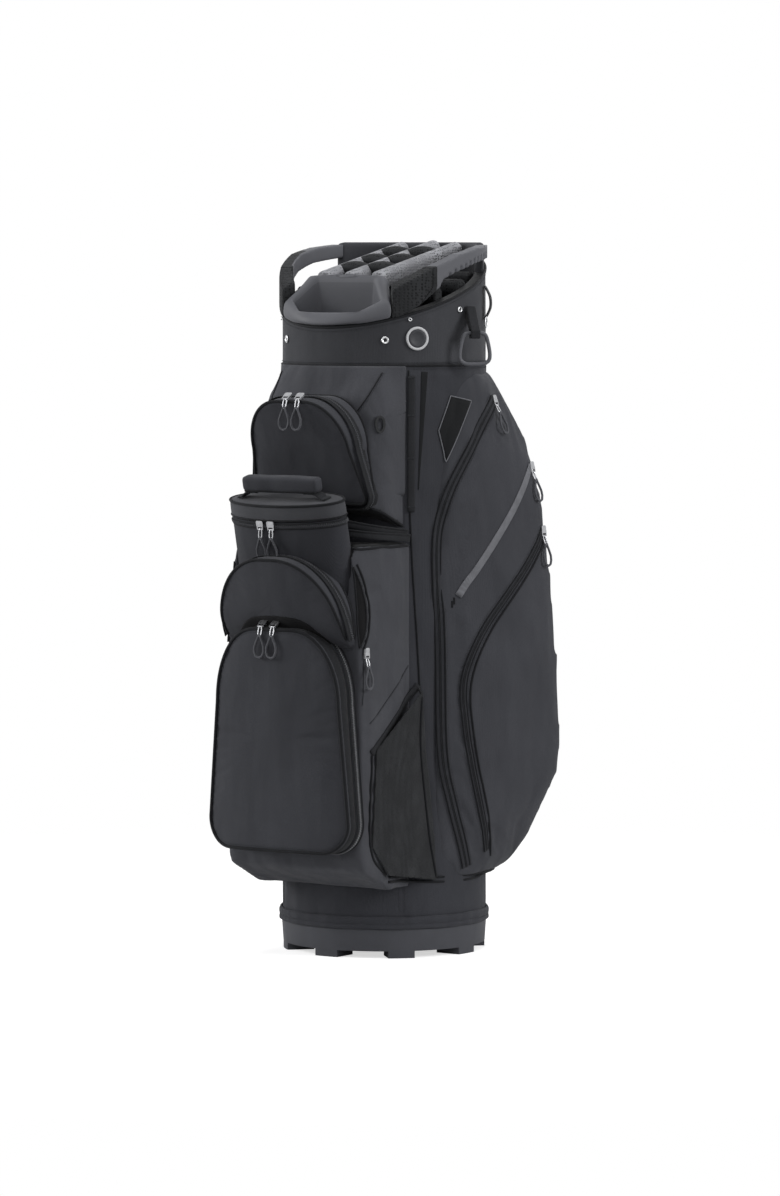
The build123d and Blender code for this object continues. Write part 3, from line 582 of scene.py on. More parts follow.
def row_tree():
    """Node tree that repeats one small block along a line, turned to lie on the cloth."""
    tree = bpy.data.node_groups.new("row_of_blocks", "GeometryNodeTree")
    kinds = {"Line": "Geometry", **{name: "Float" for name in ROW_SIZES}, "Finish": "Material"}
    for name, kind in kinds.items():
        tree.interface.new_socket(name, in_out="INPUT", socket_type="NodeSocket" + kind)
    tree.interface.new_socket("Row", in_out="OUTPUT", socket_type="NodeSocketGeometry")
    given = tree.nodes.new("NodeGroupInput").outputs

    def step(kind, sockets=None, **settings):
        return node(tree, "GeometryNode" + kind, sockets, **settings).outputs

    def vector(**parts):
        return node(tree, "ShaderNodeCombineXYZ", parts).outputs[0]

    side = step("InputNamedAttribute", {"Name": "cloth_normal"}, data_type="FLOAT_VECTOR")[0]
    curve = step("MeshToCurve", {"Mesh": given["Line"]})[0]
    faced = step("SetCurveNormal", {"Curve": curve, "Normal": side}, mode="FREE")[0]
    spots = step("CurveToPoints", {"Curve": faced, "Length": given["Spacing"]}, mode="LENGTH")
    ball = step("MeshUVSphere", {"Segments": 8, "Rings": 5, "Radius": 0.5})[0]
    size = vector(X=given["Height"], Y=given["Across"], Z=given["Along"])
    block = step("Transform", {"Geometry": ball, "Scale": size})[0]
    parity = product(tree, step("InputIndex")[0], 2.0, "MODULO")
    shift = product(tree, product(tree, parity, 0.5, "SUBTRACT"), given["Side Shift"])
    places = {"Points": spots["Points"], "Instance": block, "Rotation": spots["Rotation"]}
    placed = step("InstanceOnPoints", places)[0]
    moves = {"Instances": placed, "Translation": vector(Y=shift), "Local Space": True}
    real = step("RealizeInstances", {"Geometry": step("TranslateInstances", moves)[0]})[0]
    dressed = step("SetMaterial", {"Geometry": real, "Material": given["Finish"]})[0]
    tree.links.new(dressed, tree.nodes.new("NodeGroupOutput").inputs["Row"])
    return tree


ROW = row_tree()
ROW_SOCKETS = {s.name: s.identifier for s in ROW.interface.items_tree if s.in_out == "INPUT"}


def row(name, points, normals, spacing, size, finish, side_shift=0.0, closed=False):
    """Stitches, teeth or ribs along a line: size is along, across and height, in millimetres."""
    p = np.asarray(points, float)
    if closed:
        p = np.vstack([p, p[:1]])
        normals = np.vstack([normals, normals[:1]])
    mesh = bpy.data.meshes.new(name)
    mesh.from_pydata([tuple(q * MM) for q in p], [(i, i + 1) for i in range(len(p) - 1)], [])
    attribute = mesh.attributes.new("cloth_normal", "FLOAT_VECTOR", "POINT")
    attribute.data.foreach_set("vector", unit_rows(normals).astype(np.float32).ravel())
    obj = linked(name, mesh)
    modifier = obj.modifiers.new("row", "NODES")
    modifier.node_group = ROW
    for key, value in zip(ROW_SIZES, (spacing, *size, side_shift)):
        modifier[ROW_SOCKETS[key]] = value * MM
    modifier[ROW_SOCKETS["Finish"]] = finish
    return smooth(bake(obj))


STITCH, STITCH_PITCH = (2.3, 0.6, 0.5), 3.4


def seam(name, points, normals, size=STITCH, pitch=STITCH_PITCH, closed=False):
    """One row of stitches along a line."""
    return row(name, points, normals, pitch, size, THREAD, 0.0, closed)


def joined(name, objs):
    """Several pieces made one, keeping their finishes."""
    finishes, points, faces, slots = [], [], [], []
    for o in objs:
        base = len(points)
        points += [tuple(v.co) for v in o.data.vertices]
        local = []
        for m in o.data.materials:
            if m not in finishes:
                finishes.append(m)
            local.append(finishes.index(m))
        for f in o.data.polygons:
            faces.append([base + i for i in f.vertices])
            slots.append(local[f.material_index] if local else 0)
    mesh = bpy.data.meshes.new(name)
    mesh.from_pydata(points, [], faces)
    for o in objs:
        bpy.data.objects.remove(o)
    obj = smooth_shaded(linked(name, mesh), *finishes)
    mesh.polygons.foreach_set("material_index", slots)
    return obj


def mirrored(obj, name):
    """The same piece for the other side of the bag."""
    mesh = obj.data.copy()
    mesh.name = name
    mesh.transform(Matrix.Scale(-1.0, 4, (1.0, 0.0, 0.0)))
    mesh.flip_normals()
    return linked(name, mesh)


def zip_line(name, points, normals, finish, width, closed=False, gauge=2.4):
    """Closed zip: woven tape, two rows of stitches and the teeth that mesh down its middle."""
    p, up = np.asarray(points, float), unit_rows(normals)
    across = across_line(p, normals, closed)
    tooth = (gauge * 0.55, 3.6, 1.7)
    parts = [
        tape(name + "_tape", p, normals, width, 0.7, TAPE, closed),
        row(name + "_teeth", p + up * 1.1, normals, gauge * 0.6, tooth, finish, 1.7, closed),
    ]
    for side in (1, -1):
        edge = p + across * side * (width / 2 - 1.6) + up * 0.8
        parts.append(seam(f"{name}_stitch{side}", edge, normals, (2.2, 0.55, 0.5), 3.2, closed))
    return joined(name, parts)


def stitched(name, points, normals, offset):
    """One row of stitches, beside a line by offset."""
    beside = points + across_line(points, normals) * offset + unit_rows(normals) * 0.25
    return seam(name, beside, normals, (STITCH_PITCH * 0.68, 0.6, 0.55))


# Camera, light and floor


CAMERA_AT = (4.2445, -6.0617, 0.92)
CAMERA_AIM = (0.0063, 0.0044, 0.4508)
CAMERA_LENS, CAMERA_SENSOR, CAMERA_FAR = 173.3, 36.0, 100.0
SKY_LIGHT = 0.13
LAMP_AIM = (0.0, 0.0, 0.45)
LAMPS = (
    ("left", (-3.3, -1.9, 1.7), 1.8, 88.0),
    ("right", (3.7, 0.7, 1.9), 1.8, 84.0),
    ("top", (0.2, -0.4, 3.4), 1.8, 34.0),
    ("front", (1.6, -4.2, 2.4), 2.2, 38.0),
    ("back", (-0.8, 3.6, 2.2), 2.0, 30.0),
)
FLOOR_R, FLOOR_GLOW, FLOOR_COUNT, FLOOR_FADE = 1500.0, 0.62, 64, 0.25


def aimed(name, data, place, target):
    """Camera or lamp in its place, turned toward a target."""
    obj = linked(name, data)
    obj.location = place
    obj.rotation_euler = (Vector(target) - Vector(place)).to_track_quat("-Z", "Y").to_euler()
    return obj


def camera_and_light():
    scene = bpy.context.scene
    lens = bpy.data.cameras.new("camera")
    lens.lens = CAMERA_LENS
    lens.sensor_width = CAMERA_SENSOR
    lens.sensor_fit = "AUTO"
    lens.clip_end = CAMERA_FAR
    scene.camera = aimed("camera", lens, CAMERA_AT, CAMERA_AIM)
    scene.view_settings.view_transform = "Standard"

    world = bpy.data.worlds.new("studio")
    scene.world = world
    world.use_nodes = True
    tree = world.node_tree
    path = node(tree, "ShaderNodeLightPath")
    seen = product(tree, path.outputs["Is Camera Ray"], path.outputs["Is Glossy Ray"], "MAXIMUM")
    seen = product(tree, seen, path.outputs["Is Transmission Ray"], "MAXIMUM")
    level = node(tree, "ShaderNodeMapRange", {"Value": seen, "To Min": SKY_LIGHT, "To Max": 1.0})
    tree.links.new(level.outputs[0], tree.nodes["Background"].inputs["Strength"])
    tree.nodes["Background"].inputs["Color"].default_value = (1.0, 1.0, 1.0, 1.0)

    for name, place, size, watts in LAMPS:
        lamp = bpy.data.lights.new(name, "AREA")
        lamp.size = size
        lamp.energy = watts
        aimed(name, lamp, place, LAMP_AIM)


def pale_floor():
    """Floor that takes the bag's shadow and fades out toward its rim."""
    material = bpy.data.materials.new("pale_floor")
    material.use_nodes = True
    tree = material.node_tree
    shader = tree.nodes["Principled BSDF"]
    shader.inputs["Base Color"].default_value = (0.9, 0.9, 0.9, 1.0)
    shader.inputs["Roughness"].default_value = 0.9
    shader.inputs["Specular IOR Level"].default_value = 0.0
    seen = node(tree, "ShaderNodeLightPath").outputs["Is Camera Ray"]
    glow = node(tree, "ShaderNodeEmission", {"Strength": FLOOR_GLOW})
    lit = node(tree, "ShaderNodeAddShader", {0: shader.outputs[0], 1: glow.outputs[0]})
    pick = node(tree, "ShaderNodeMixShader", {0: seen, 1: shader.outputs[0], 2: lit.outputs[0]})
    place = node(tree, "ShaderNodeTexCoord").outputs["Object"]
    far = node(tree, "ShaderNodeVectorMath", {0: place}, operation="LENGTH")
    fade = ramped(tree, far.outputs["Value"], FLOOR_FADE, FLOOR_R * MM)
    clear = node(tree, "ShaderNodeBsdfTransparent")
    blend = node(tree, "ShaderNodeMixShader", {0: fade, 1: pick.outputs[0], 2: clear.outputs[0]})
    tree.links.new(blend.outputs[0], tree.nodes["Material Output"].inputs["Surface"])
    rim = [(FLOOR_R * math.cos(t), FLOOR_R * math.sin(t), 0.0) for t in full_turn(FLOOR_COUNT)]
    mesh_object("floor", rim, [tuple(range(FLOOR_COUNT))], material)


# Tube, base and hem


def ripple(angle, z, height=0.7):
    """Slight unevenness of cloth round the tube."""
    a = math.radians(angle)
    return height * (
        0.5 * math.sin(3 * a + z / 61.0) * math.sin(z / 97.0 + 1.0)
        + 0.3 * math.sin(9 * a - z / 43.0)
        + 0.2 * math.sin(17 * a + z / 29.0)
    )


def round_tube():
    levels = np.r_[np.linspace(TUBE_LOW, 110, 12), np.linspace(125, SEAM_Z, 46)]
    rings = []
    for z in levels:
        ring = []
        for a in full_turn(144, 360):
            near = min(abs((a - s + 180) % 360 - 180) for s in TUBE_SEAMS)
            dent = 0.9 * math.exp(-((near / 1.6) ** 2))
            ring.append(bearing(TUBE_R - 0.8 + ripple(a, z) - dent, a, z))
        rings.append(ring)
    tube = thickened(skin("tube_cloth", rings, BAND), 2.0)
    settle(tube, "bag", "shell_fabric", "tube_front", "tube_right", "tube_back", "tube_left")
    parts = []
    for k, middle in enumerate(TUBE_SEAMS):
        for side in (-1.6, 1.6):
            a = middle + side
            line = [bearing(TUBE_R - 0.6 + ripple(a, z), a, z) for z in range(60, 748, 8)]
            parts.append(seam(f"tube_seam_{k}_{side}", line, outward([a] * len(line)), (2.4, 0.6, 0.5)))
    settle(joined("tube_seam_stitches", parts), "bag", "webbing_black")
    return tube


HEM_PROFILE = ((132.3, 37.2), (134.6, 37.4), (135.6, 39.5), (135.4, 42.5), (134.4, 44.2), (135.2, 46.0),
               (135.7, 49.0), (135.2, 52.2), (133.8, 53.8), (132.4, 53.6))
HEM_SEAM_R, HEM_SEAM_Z = 134.9, 44.2


def base_and_hem():
    base = bevelled_copy("base_cup", "moulded_base", BASE_PLASTIC, 1.4)
    settle(base, "bag", "moulded_grey", "base_cup")
    rings = []
    for r, z in HEM_PROFILE:
        rings.append([bearing(r + 0.35 * math.sin(a * 0.9) * math.sin(a * 0.33), a,
                              z + 0.5 * math.sin(a * 0.21 + r)) for a in full_turn(180, 360)])
    hem = skin("folded_hem", rings, BAND)
    changed(hem, "SUBSURF", levels=1, render_levels=1)
    settle(hem, "bag", "webbing_black", "hem_band")
    angles = full_turn(240, 360)
    ring = np.array([bearing(HEM_SEAM_R, a, HEM_SEAM_Z) for a in angles])
    stitches = seam("hem_stitches", ring, outward(angles), (2.5, 0.6, 0.6), 3.6, True)
    settle(stitches, "bag", "webbing_black")


# Arched pockets


def arch_outline(half, low, top, shoulder_x, shoulder_z, foot, count, taper):
    """Evenly spaced front view of an arched pocket, from the middle of its foot and clockwise."""
    flat, spring = half - taper - shoulder_x, top - shoulder_z
    turn = np.radians(np.linspace(0, 90, 40))
    right_foot = [(half - foot + foot * math.sin(t), low + foot - foot * math.cos(t)) for t in turn]
    right_top = [(flat + shoulder_x * math.cos(t), spring + shoulder_z * math.sin(t)) for t in turn]
    right = right_foot + right_top
    left = [(-x, z) for x, z in reversed(right)]
    line = evenly([(0.0, low), *right, (0.0, top), *left], count=count, closed=True)
    ahead = along(np.c_[line, np.zeros(count)], True)[:, :2]
    return line, np.c_[ahead[:, 1], -ahead[:, 0]]


def upright(plan, y):
    """Points of a front view, set at one depth or at a depth for each."""
    return np.c_[plan[:, 0], np.broadcast_to(np.asarray(y, float), len(plan)), plan[:, 1]]


PANEL_SHARES = (0.05, 0.11, 0.19, 0.29, 0.4, 0.52, 0.65, 0.78, 0.9)


def arch_shell(name, outline, y_back, y_front, side_puff, front_puff, gusset_rows=5, flare=0.0):
    """Arched pocket skin: gusset from y_back forward, a soft edge, then the crowned front panel.

    Returns the piece, how each point is held, and three lines round it: front edge, mid gusset and back edge.
    """
    line, out = outline
    count = len(line)
    fronts = np.array([y_front(x, z) for x, z in line])
    rings = []
    for k in range(gusset_rows + 1):
        share = k / gusset_rows
        swell_out = side_puff * math.sin(math.pi * share) + flare * (1 - share)
        rings.append(upright(line + out * swell_out, y_back + (fronts + SOFT_EDGE - y_back) * share))
    back_line, gusset_line = rings[0], rings[gusset_rows // 2 + 1]
    for turn in (30, 60, 90):
        a = math.radians(turn)
        plan = line - out * SOFT_EDGE * (1 - math.cos(a))
        rings.append(upright(plan, fronts + SOFT_EDGE * (1 - math.sin(a))))
    edge_line = rings[gusset_rows + 2]
    inner = line - out * SOFT_EDGE
    centre = np.array((0.0, (line[:, 1].min() + line[:, 1].max()) / 2))
    for share in PANEL_SHARES:
        plan = inner + (centre - inner) * share
        puff = front_puff * math.sin(min(1.0, share * 1.6) * math.pi / 2)
        rings.append(upright(plan, np.array([y_front(x, z) for x, z in plan]) - puff))
    obj = skin(name, rings, PANEL, cap_last=True)
    sideways, forward = upright(out, 0.0), upright(out * 0.7, -0.7)
    held = np.zeros(len(rings) * count + 1)
    held[:count] = 1.0
    held[(gusset_rows + 2) * count : (gusset_rows + 3) * count] = 1.0
    return obj, held, (edge_line, forward), (gusset_line, sideways), (back_line, sideways)


def crown(half, edge, middle):
    """Front of a panel that bulges from edge to middle over a half width."""
    rise = edge - middle
    radius = (half * half + rise * rise) / (2 * rise)
    return lambda x: middle + radius - math.sqrt(max(1.0, radius * radius - x * x))


def sewn_piping(name, line, way, radius, body="bag", closed=True):
    """Piping sewn into an edge of a pocket."""
    settle(roll(name, line, way, radius, PIPING, closed), body, "shell_fabric")


# Arches: shoulder's width and height, foot's radius, number of points, and taper toward the top
LOWER_ARCH = (LOWER_SHOULDER_X, LOWER_SHOULDER_Z, 38, 220, LOWER_TAPER)
UPPER_ARCH = (54, 62, 12, 200, 11.0)
MID_ARCH = (84, 94, 6, 180, 0.0)
POCKET_PRESSURE, POCKET_SLACK, SOFT_EDGE = 3.0, 0.006, 4.0
LOWER_GUSSET = ((FRONT_Y - 0.4, 0.0), (-203, 0.6), (-207, 0.9), (-211, 0.6), (LOWER_ZIP_Y + 0.6, 0.0))
LOWER_TEETH_Y = -207.5


def lower_pocket():
    front = crown(LOWER_HALF, LOWER_EDGE_Y, LOWER_CROWN_Y)
    outline = arch_outline(LOWER_HALF - 1.0, LOWER_Z[0] + 1.0, LOWER_Z[1] - 1.0, *LOWER_ARCH)
    flap, held, (line, way), _, _ = arch_shell(
        "lower_pocket_front", outline, LOWER_ZIP_Y - 1.0, lambda x, z: front(x), 1.0, 0.6, 3
    )
    swell(flap, POCKET_PRESSURE, 2.0, held, POCKET_SLACK)
    smooth_shaded(thickened(flap, 2.0), PANEL, TAPE)
    for face in flap.data.polygons:
        x, y, _ = face.center / MM
        face.material_index = 1 if y > front(x) + 4.5 else 0
    settle(flap, "lower_flap", "shell_fabric", "lower_pocket_flap")
    sewn_piping("lower_pocket_piping", line + way * 1.0, way, 2.2, "lower_flap")
    inside = line - way * (5.0, 0.0, 5.0)
    stitches, normals = laid(cloth_surface(flap), inside, (0, 1, 0), 0.1)
    stitches = seam("lower_pocket_stitches", calm(stitches, 2, True), normals, closed=True)
    settle(stitches, "lower_flap", "shell_fabric")

    line, out = outline
    rings = [upright(line + out * puff, y) for y, puff in LOWER_GUSSET]
    gusset = thickened(skin("lower_pocket_gusset", rings, SHELL), 2.0)
    settle(gusset, "bag", "shell_fabric", "lower_pocket_frame")
    way = upright(out, 0.0)
    sewn_piping("gusset_piping", upright(line, FRONT_Y - 1.0) + way * 0.8, way, 1.7)
    teeth = upright(line, LOWER_TEETH_Y) + way * 0.9
    settle(zip_line("lower_pocket_zip", teeth, way, BRIGHT_TEETH, 12.0, True, 2.6), "bag", "webbing_black")


GUSSET_PIPING = (0, 3.5, 0)
UPPER_BACK_Y = -147.0


def upper_pocket():
    front = crown(UPPER_HALF, UPPER_EDGE_Y, UPPER_CROWN_Y)

    def face(x, z):
        return front(x) + (UPPER_Z[1] - z) * math.tan(UPPER_LEAN)

    outline = arch_outline(UPPER_HALF + 4.0, UPPER_Z[0] + 1.0, UPPER_Z[1] - 1.0, *UPPER_ARCH)
    obj, held, edge, gusset, back = arch_shell(
        "upper_pocket_cloth", outline, UPPER_BACK_Y, face, 1.5, 0.3, flare=5.0
    )
    swell(obj, POCKET_PRESSURE, 1.2, held, POCKET_SLACK)
    settle(smooth_shaded(obj, PANEL), "bag", "shell_fabric", "upper_pocket")
    line, way = edge
    sewn_piping("upper_pocket_piping", line + way * 0.9, way, 2.0)
    line, way = back
    sewn_piping("upper_gusset_piping", line - GUSSET_PIPING, way, 1.7)
    line, way = gusset
    settle(zip_line("upper_pocket_zip", line + way * 1.0, way, TEETH, 19.0, True), "bag", "webbing_black")


# Half width, rise and lower edge of the near-black sheet that paints the shade under the middle pocket
UNDER_HALF, UNDER_RISE, UNDER_EDGE = 80, 15.0, 4.0
TUCK_Z, TUCK_H, TUCK_DEPTH = 450.0, 44.0, 13.0


def mid_pocket():
    front = crown(MID_HALF, MID_EDGE_Y, MID_CROWN_Y)

    def face(x, z):
        tuck = TUCK_DEPTH * max(0.0, (TUCK_Z - z) / TUCK_H) ** 2
        return front(x) + (MID_Z[1] - z) * math.tan(MID_LEAN) + tuck

    outline = arch_outline(MID_HALF - 1.0, MID_Z[0], MID_Z[1] - 1.0, *MID_ARCH)
    obj, held, edge, gusset, back = arch_shell(
        "middle_pocket_cloth", outline, FRONT_Y - 0.4, face, 1.0, 1.5, flare=3.0
    )
    swell(obj, POCKET_PRESSURE, 3.0, held, POCKET_SLACK)
    settle(smooth_shaded(obj, PANEL), "bag", "shell_fabric", "mid_pocket")
    # Near-black sheet laid on the middle pocket's foot along the lower pocket's arch: painted shade of the
    # recess between the two pockets, not a real lining
    spring, flat = LOWER_Z[1] - LOWER_SHOULDER_Z, LOWER_HALF - LOWER_TAPER - LOWER_SHOULDER_X
    trees = cloth_surface(obj)
    rows = []
    for share in np.linspace(0, 1, 7):
        points = []
        for x in np.linspace(-UNDER_HALF, UNDER_HALF, 70):
            reach = min(1.0, max(0.0, abs(x) - flat) / LOWER_SHOULDER_X)
            z = spring + LOWER_SHOULDER_Z * math.sqrt(1 - reach * reach) - UNDER_EDGE
            rise = UNDER_EDGE + UNDER_RISE * (1 - (x / UNDER_HALF) ** 2)
            points.append((x, -300.0, z + share * rise))
        rows.append(laid(trees, points, (0, 1, 0), 0.5)[0])
    gap = thickened(skin("middle_pocket_under_lining", rows, PAINTED_SHADE, closed=False), 0.5, 0.0)
    settle(gap, "bag", "lining")
    line, way = edge
    keep = line[:, 2] > MID_Z[0] + 12
    start = int(np.argmax(~keep & np.roll(keep, -1))) + 1
    order = np.roll(np.arange(len(line)), -start)
    order = order[keep[order]]
    sewn_piping("middle_pocket_piping", line[order] + way[order], way[order], 2.0, closed=False)
    line, way = back
    sewn_piping("middle_gusset_piping", line[order] - GUSSET_PIPING, way[order], 1.7, closed=False)
    line, way = gusset
    teeth = line[order] + way[order] * 0.8
    settle(zip_line("middle_pocket_zip", teeth, way[order], TEETH, 17.0), "bag", "webbing_black")


# Stuffed bodies


def tuck_behind_tube(obj, depth=7.0):
    """Carries the face that lies on the tube into its wall, so that cloth and tube meet in a clean line."""
    points = points_of(obj)
    reach = np.hypot(points[:, 0], points[:, 1])
    shrink = np.where(reach < TUBE_R + 1.5, (TUBE_R - depth) / reach, 1.0)
    points[:, :2] *= shrink[:, None]
    set_points(obj, points)


def dents():
    """Broad soft unevenness of a stuffed cloth."""
    texture = bpy.data.textures.new("dents", "CLOUDS")
    texture.noise_scale = 0.085
    texture.noise_depth = 1
    return texture


def stuffed_body(source, name, finish, voxel, passes, pressure, cap, free):
    """Solid turned into a stuffed cloth form; free says which points aren't sewn down."""
    obj = solid_copy(source, name, finish)
    tuck_behind_tube(obj)
    softened(obj, voxel, passes)
    swell(obj, pressure, cap, [0.0 if free(p) else 1.0 for p in points_of(obj)], 0.008)
    changed(obj, "SMOOTH", factor=0.4, iterations=2)
    changed(obj, "DISPLACE", texture=dents(), strength=2.0 * MM, mid_level=0.65, texture_coords="LOCAL")
    return smooth_shaded(obj, finish)


def away_from_tube(p, gap):
    return math.hypot(p[0], p[1]) > TUBE_R + gap


def big_bodies():
    front = stuffed_body(
        "front_body", "front_body_cloth", SHELL, voxel=4.0, passes=10, pressure=2.5, cap=3.0,
        free=lambda p: away_from_tube(p, 10) and p[1] > FRONT_Y + 6 and abs(p[0]) > 80,
    )
    settle(front, "bag", "shell_fabric", "front_body")
    upper = stuffed_body(
        "upper_body", "upper_shoulder_cloth", SHELL, voxel=3.5, passes=6, pressure=2.5, cap=2.5,
        free=lambda p: away_from_tube(p, 8) and p[1] > -146 and p[2] > 585,
    )
    settle(upper, "bag", "shell_fabric", "upper_body")
    side = stuffed_body(
        "right_side_pocket", "right_apparel_pocket", SIDE, voxel=4.0, passes=24, pressure=3.5, cap=2.6,
        free=lambda p: away_from_tube(p, 9) and 125 < p[2] < 715,
    )
    # Upward faces of the front body's top and all downward faces of the shoulder take the dark lining finish:
    # painted shade of the recess under the shoulder
    for obj, over in ((front, 512.0), (upper, 0.0)):
        obj.data.materials.append(LINING)
        for face in obj.data.polygons:
            shelf = face.normal.z > 0.7 and face.center.z > over * MM and over > 0
            floor = face.normal.z < -0.35 and over == 0.0
            face.material_index = 1 if shelf or floor else 0
    settle_both(side, "left_apparel_pocket", "shell_fabric", "right_side_pocket", "left_side_pocket")
    return front, upper, side


YOKE_TOP_R, YOKE_KNEE_Z, YOKE_LOW_Z, YOKE_TURN, YOKE_FAR = 133.4, 694.0, 588.0, 47.5, 300


def yoke(upper, tube):
    """Cloth that runs from under the cuff out over the top of the shoulder."""
    trees = cloth_surface(upper, tube)
    knee = 17
    above = np.linspace(SEAM_Z + 0.4, YOKE_KNEE_Z, knee + 1)
    heights = np.r_[above, np.linspace(YOKE_KNEE_Z - 6.0, YOKE_LOW_Z, 21)]
    turns = np.linspace(-YOKE_TURN, YOKE_TURN, 72)
    reach = np.zeros((len(heights), len(turns)))
    for j, turn in enumerate(turns):
        out = bearing(1, turn, 0)
        for i, z in enumerate(heights):
            start = out * YOKE_FAR + (0, 0, z)
            hits = [tree.ray_cast(Vector(start * MM), Vector(-out)) for tree in trees]
            far = min((h[3] for h in hits if h[0] is not None), default=0.168)
            reach[i, j] = YOKE_FAR - far / MM
        share = np.minimum(1.0, (heights[0] - heights) / (heights[0] - heights[knee]))
        line = YOKE_TOP_R + (reach[knee, j] - YOKE_TOP_R) * share**0.85
        line[knee + 1 :] = 0.0
        reach[:, j] = np.maximum(reach[:, j] + 0.6, line)
    reach = calm(calm(reach, 4).T, 5).T
    reach[0] = YOKE_TOP_R - 0.2
    reach[-1] -= 2.5
    reach[-2] -= 0.4
    reach[:, (0, -1)] -= 2.0
    rings = [[bearing(r, turn, z) for r, turn in zip(level, turns)] for level, z in zip(reach, heights)]
    obj = thickened(skin("shoulder_yoke", rings, SHELL, closed=False), 1.4)
    settle(smooth_shaded(obj, SHELL), "bag", "shell_fabric")
    return obj


def dress(name, finish):
    """Gives a rigid solid that stays in sight its finish."""
    mesh = frame["nodes"][name].data
    mesh.materials.clear()
    mesh.materials.append(finish)


def pressed(trees, points, lift=0.0, passes=4):
    """Points moved to the nearest cloth, with the cloth's normal at each, both calmed along the line."""
    out, normals = [], []
    for p in points:
        found = [tree.find_nearest(Vector(np.asarray(p, float) * MM)) for tree in trees]
        where, normal, _, _ = min((f for f in found if f[0] is not None), key=lambda f: f[3])
        out.append(np.array(where) / MM)
        normals.append(np.array(normal))
    normals = unit_rows(calm(normals, passes * 2))
    return calm(out, passes) + normals * lift, normals


def lathe(name, at, axis, profile, finish, count=32):
    """Round piece turned from (radius, height) steps about an axis."""
    turn = Vector(axis).to_track_quat("Z", "Y").to_matrix()
    rings = []
    for r, h in profile:
        ring = [(r * math.cos(a), r * math.sin(a), h) for a in full_turn(count)]
        rings.append([np.array(at) + np.array(turn @ Vector(q)) for q in ring])
    return skin(name, rings, finish, cap_first=True, cap_last=True)


# Top of the bag


CUFF_STITCH = (2.3, 0.6, 0.6)


def cuff_ring():
    angles = full_turn(180, 360)
    tops = [cuff_top(-CUFF_R * math.cos(math.radians(a))) for a in angles]
    rings = []
    for share in np.linspace(0, 1, 14):
        ring = []
        for a, top in zip(angles, tops):
            z = SEAM_Z + 0.6 + (top - 1.0 - SEAM_Z - 0.6) * share
            ring.append(bearing(CUFF_R - 0.6 + ripple(a, z, 0.5), a, z))
        rings.append(ring)
    settle(thickened(skin("cuff_cloth", rings, CUFF), 1.8), "bag", "shell_fabric", "cuff")
    out = outward(angles)
    top = np.array([bearing(CUFF_R - 1.0, a, z - 1.2) for a, z in zip(angles, tops)])
    low = np.array([bearing(CUFF_R - 0.2, a, SEAM_Z + 0.4) for a in angles])
    trim = [
        roll("cuff_top_binding", top, out, 1.8, BINDING, True),
        roll("cuff_foot_piping", low, out, 1.6, PIPING, True),
    ]
    settle(joined("cuff_bindings", trim), "bag", "webbing_black")
    rows = [
        seam("cuff_stitch_top", top + out * 0.9 - (0, 0, 5.0), out, CUFF_STITCH, closed=True),
        seam("cuff_stitch_low", low + out * 0.1 + (0, 0, 4.0), out, CUFF_STITCH, closed=True),
        seam("tube_stitch_top", low + out * 0.6 - (0, 0, 4.0), out, CUFF_STITCH, closed=True),
    ]
    settle(joined("cuff_stitches", rows), "bag", "webbing_black")


WELL_R, WELL_MOUTH_R = 134.5, 101.0
WELL_MOUTH = ((0, -122), (44, -122), (68, -104), (44, -84), (0, -84))
WELL_SLEEVE = ((0, -106), (34, -106), (58, -95), (40, -81), (0, -81))
WELL_BEARING, WELL_FRONT_Y, WELL_REAR_Y, WELL_FRONT_Z, WELL_RISE = 39.0, -134.0, -78.0, 813.0, 1.02
LIP_OUTSIDE = ((3.0, 1.0), (0.4, 0.86), (0.0, 0.62), (0.3, 0.45), (1.4, 0.24), (3.4, 0.1), (6.0, 0.02))
LIP_INSIDE = ((5.0, 0.0), (2.6, 0.8), (0.9, 2.6), (0.0, 6.0), (-0.6, 14.0))
WELL_WALL = ((0.35, 30.0), (0.8, 52.0), (1.0, 75.0))


def well_top(x, y):
    """Height of the lip: a steep plane that eases off toward the two ends of the outer edge."""
    climb = WELL_RISE * (y - WELL_FRONT_Y)
    outer = min(1.0, max(0.0, (math.hypot(x, y) - WELL_MOUTH_R) / (WELL_R - WELL_MOUTH_R)))
    return WELL_FRONT_Z + climb * (1.0 - 0.3 * outer)


def both_halves(points, count):
    """Closed outline from its right half, evenly spaced from the middle of the front."""
    right = [np.array(q, float) for q in points]
    return evenly(right + [q * (-1, 1) for q in reversed(right[1:-1])], count=count, closed=True)


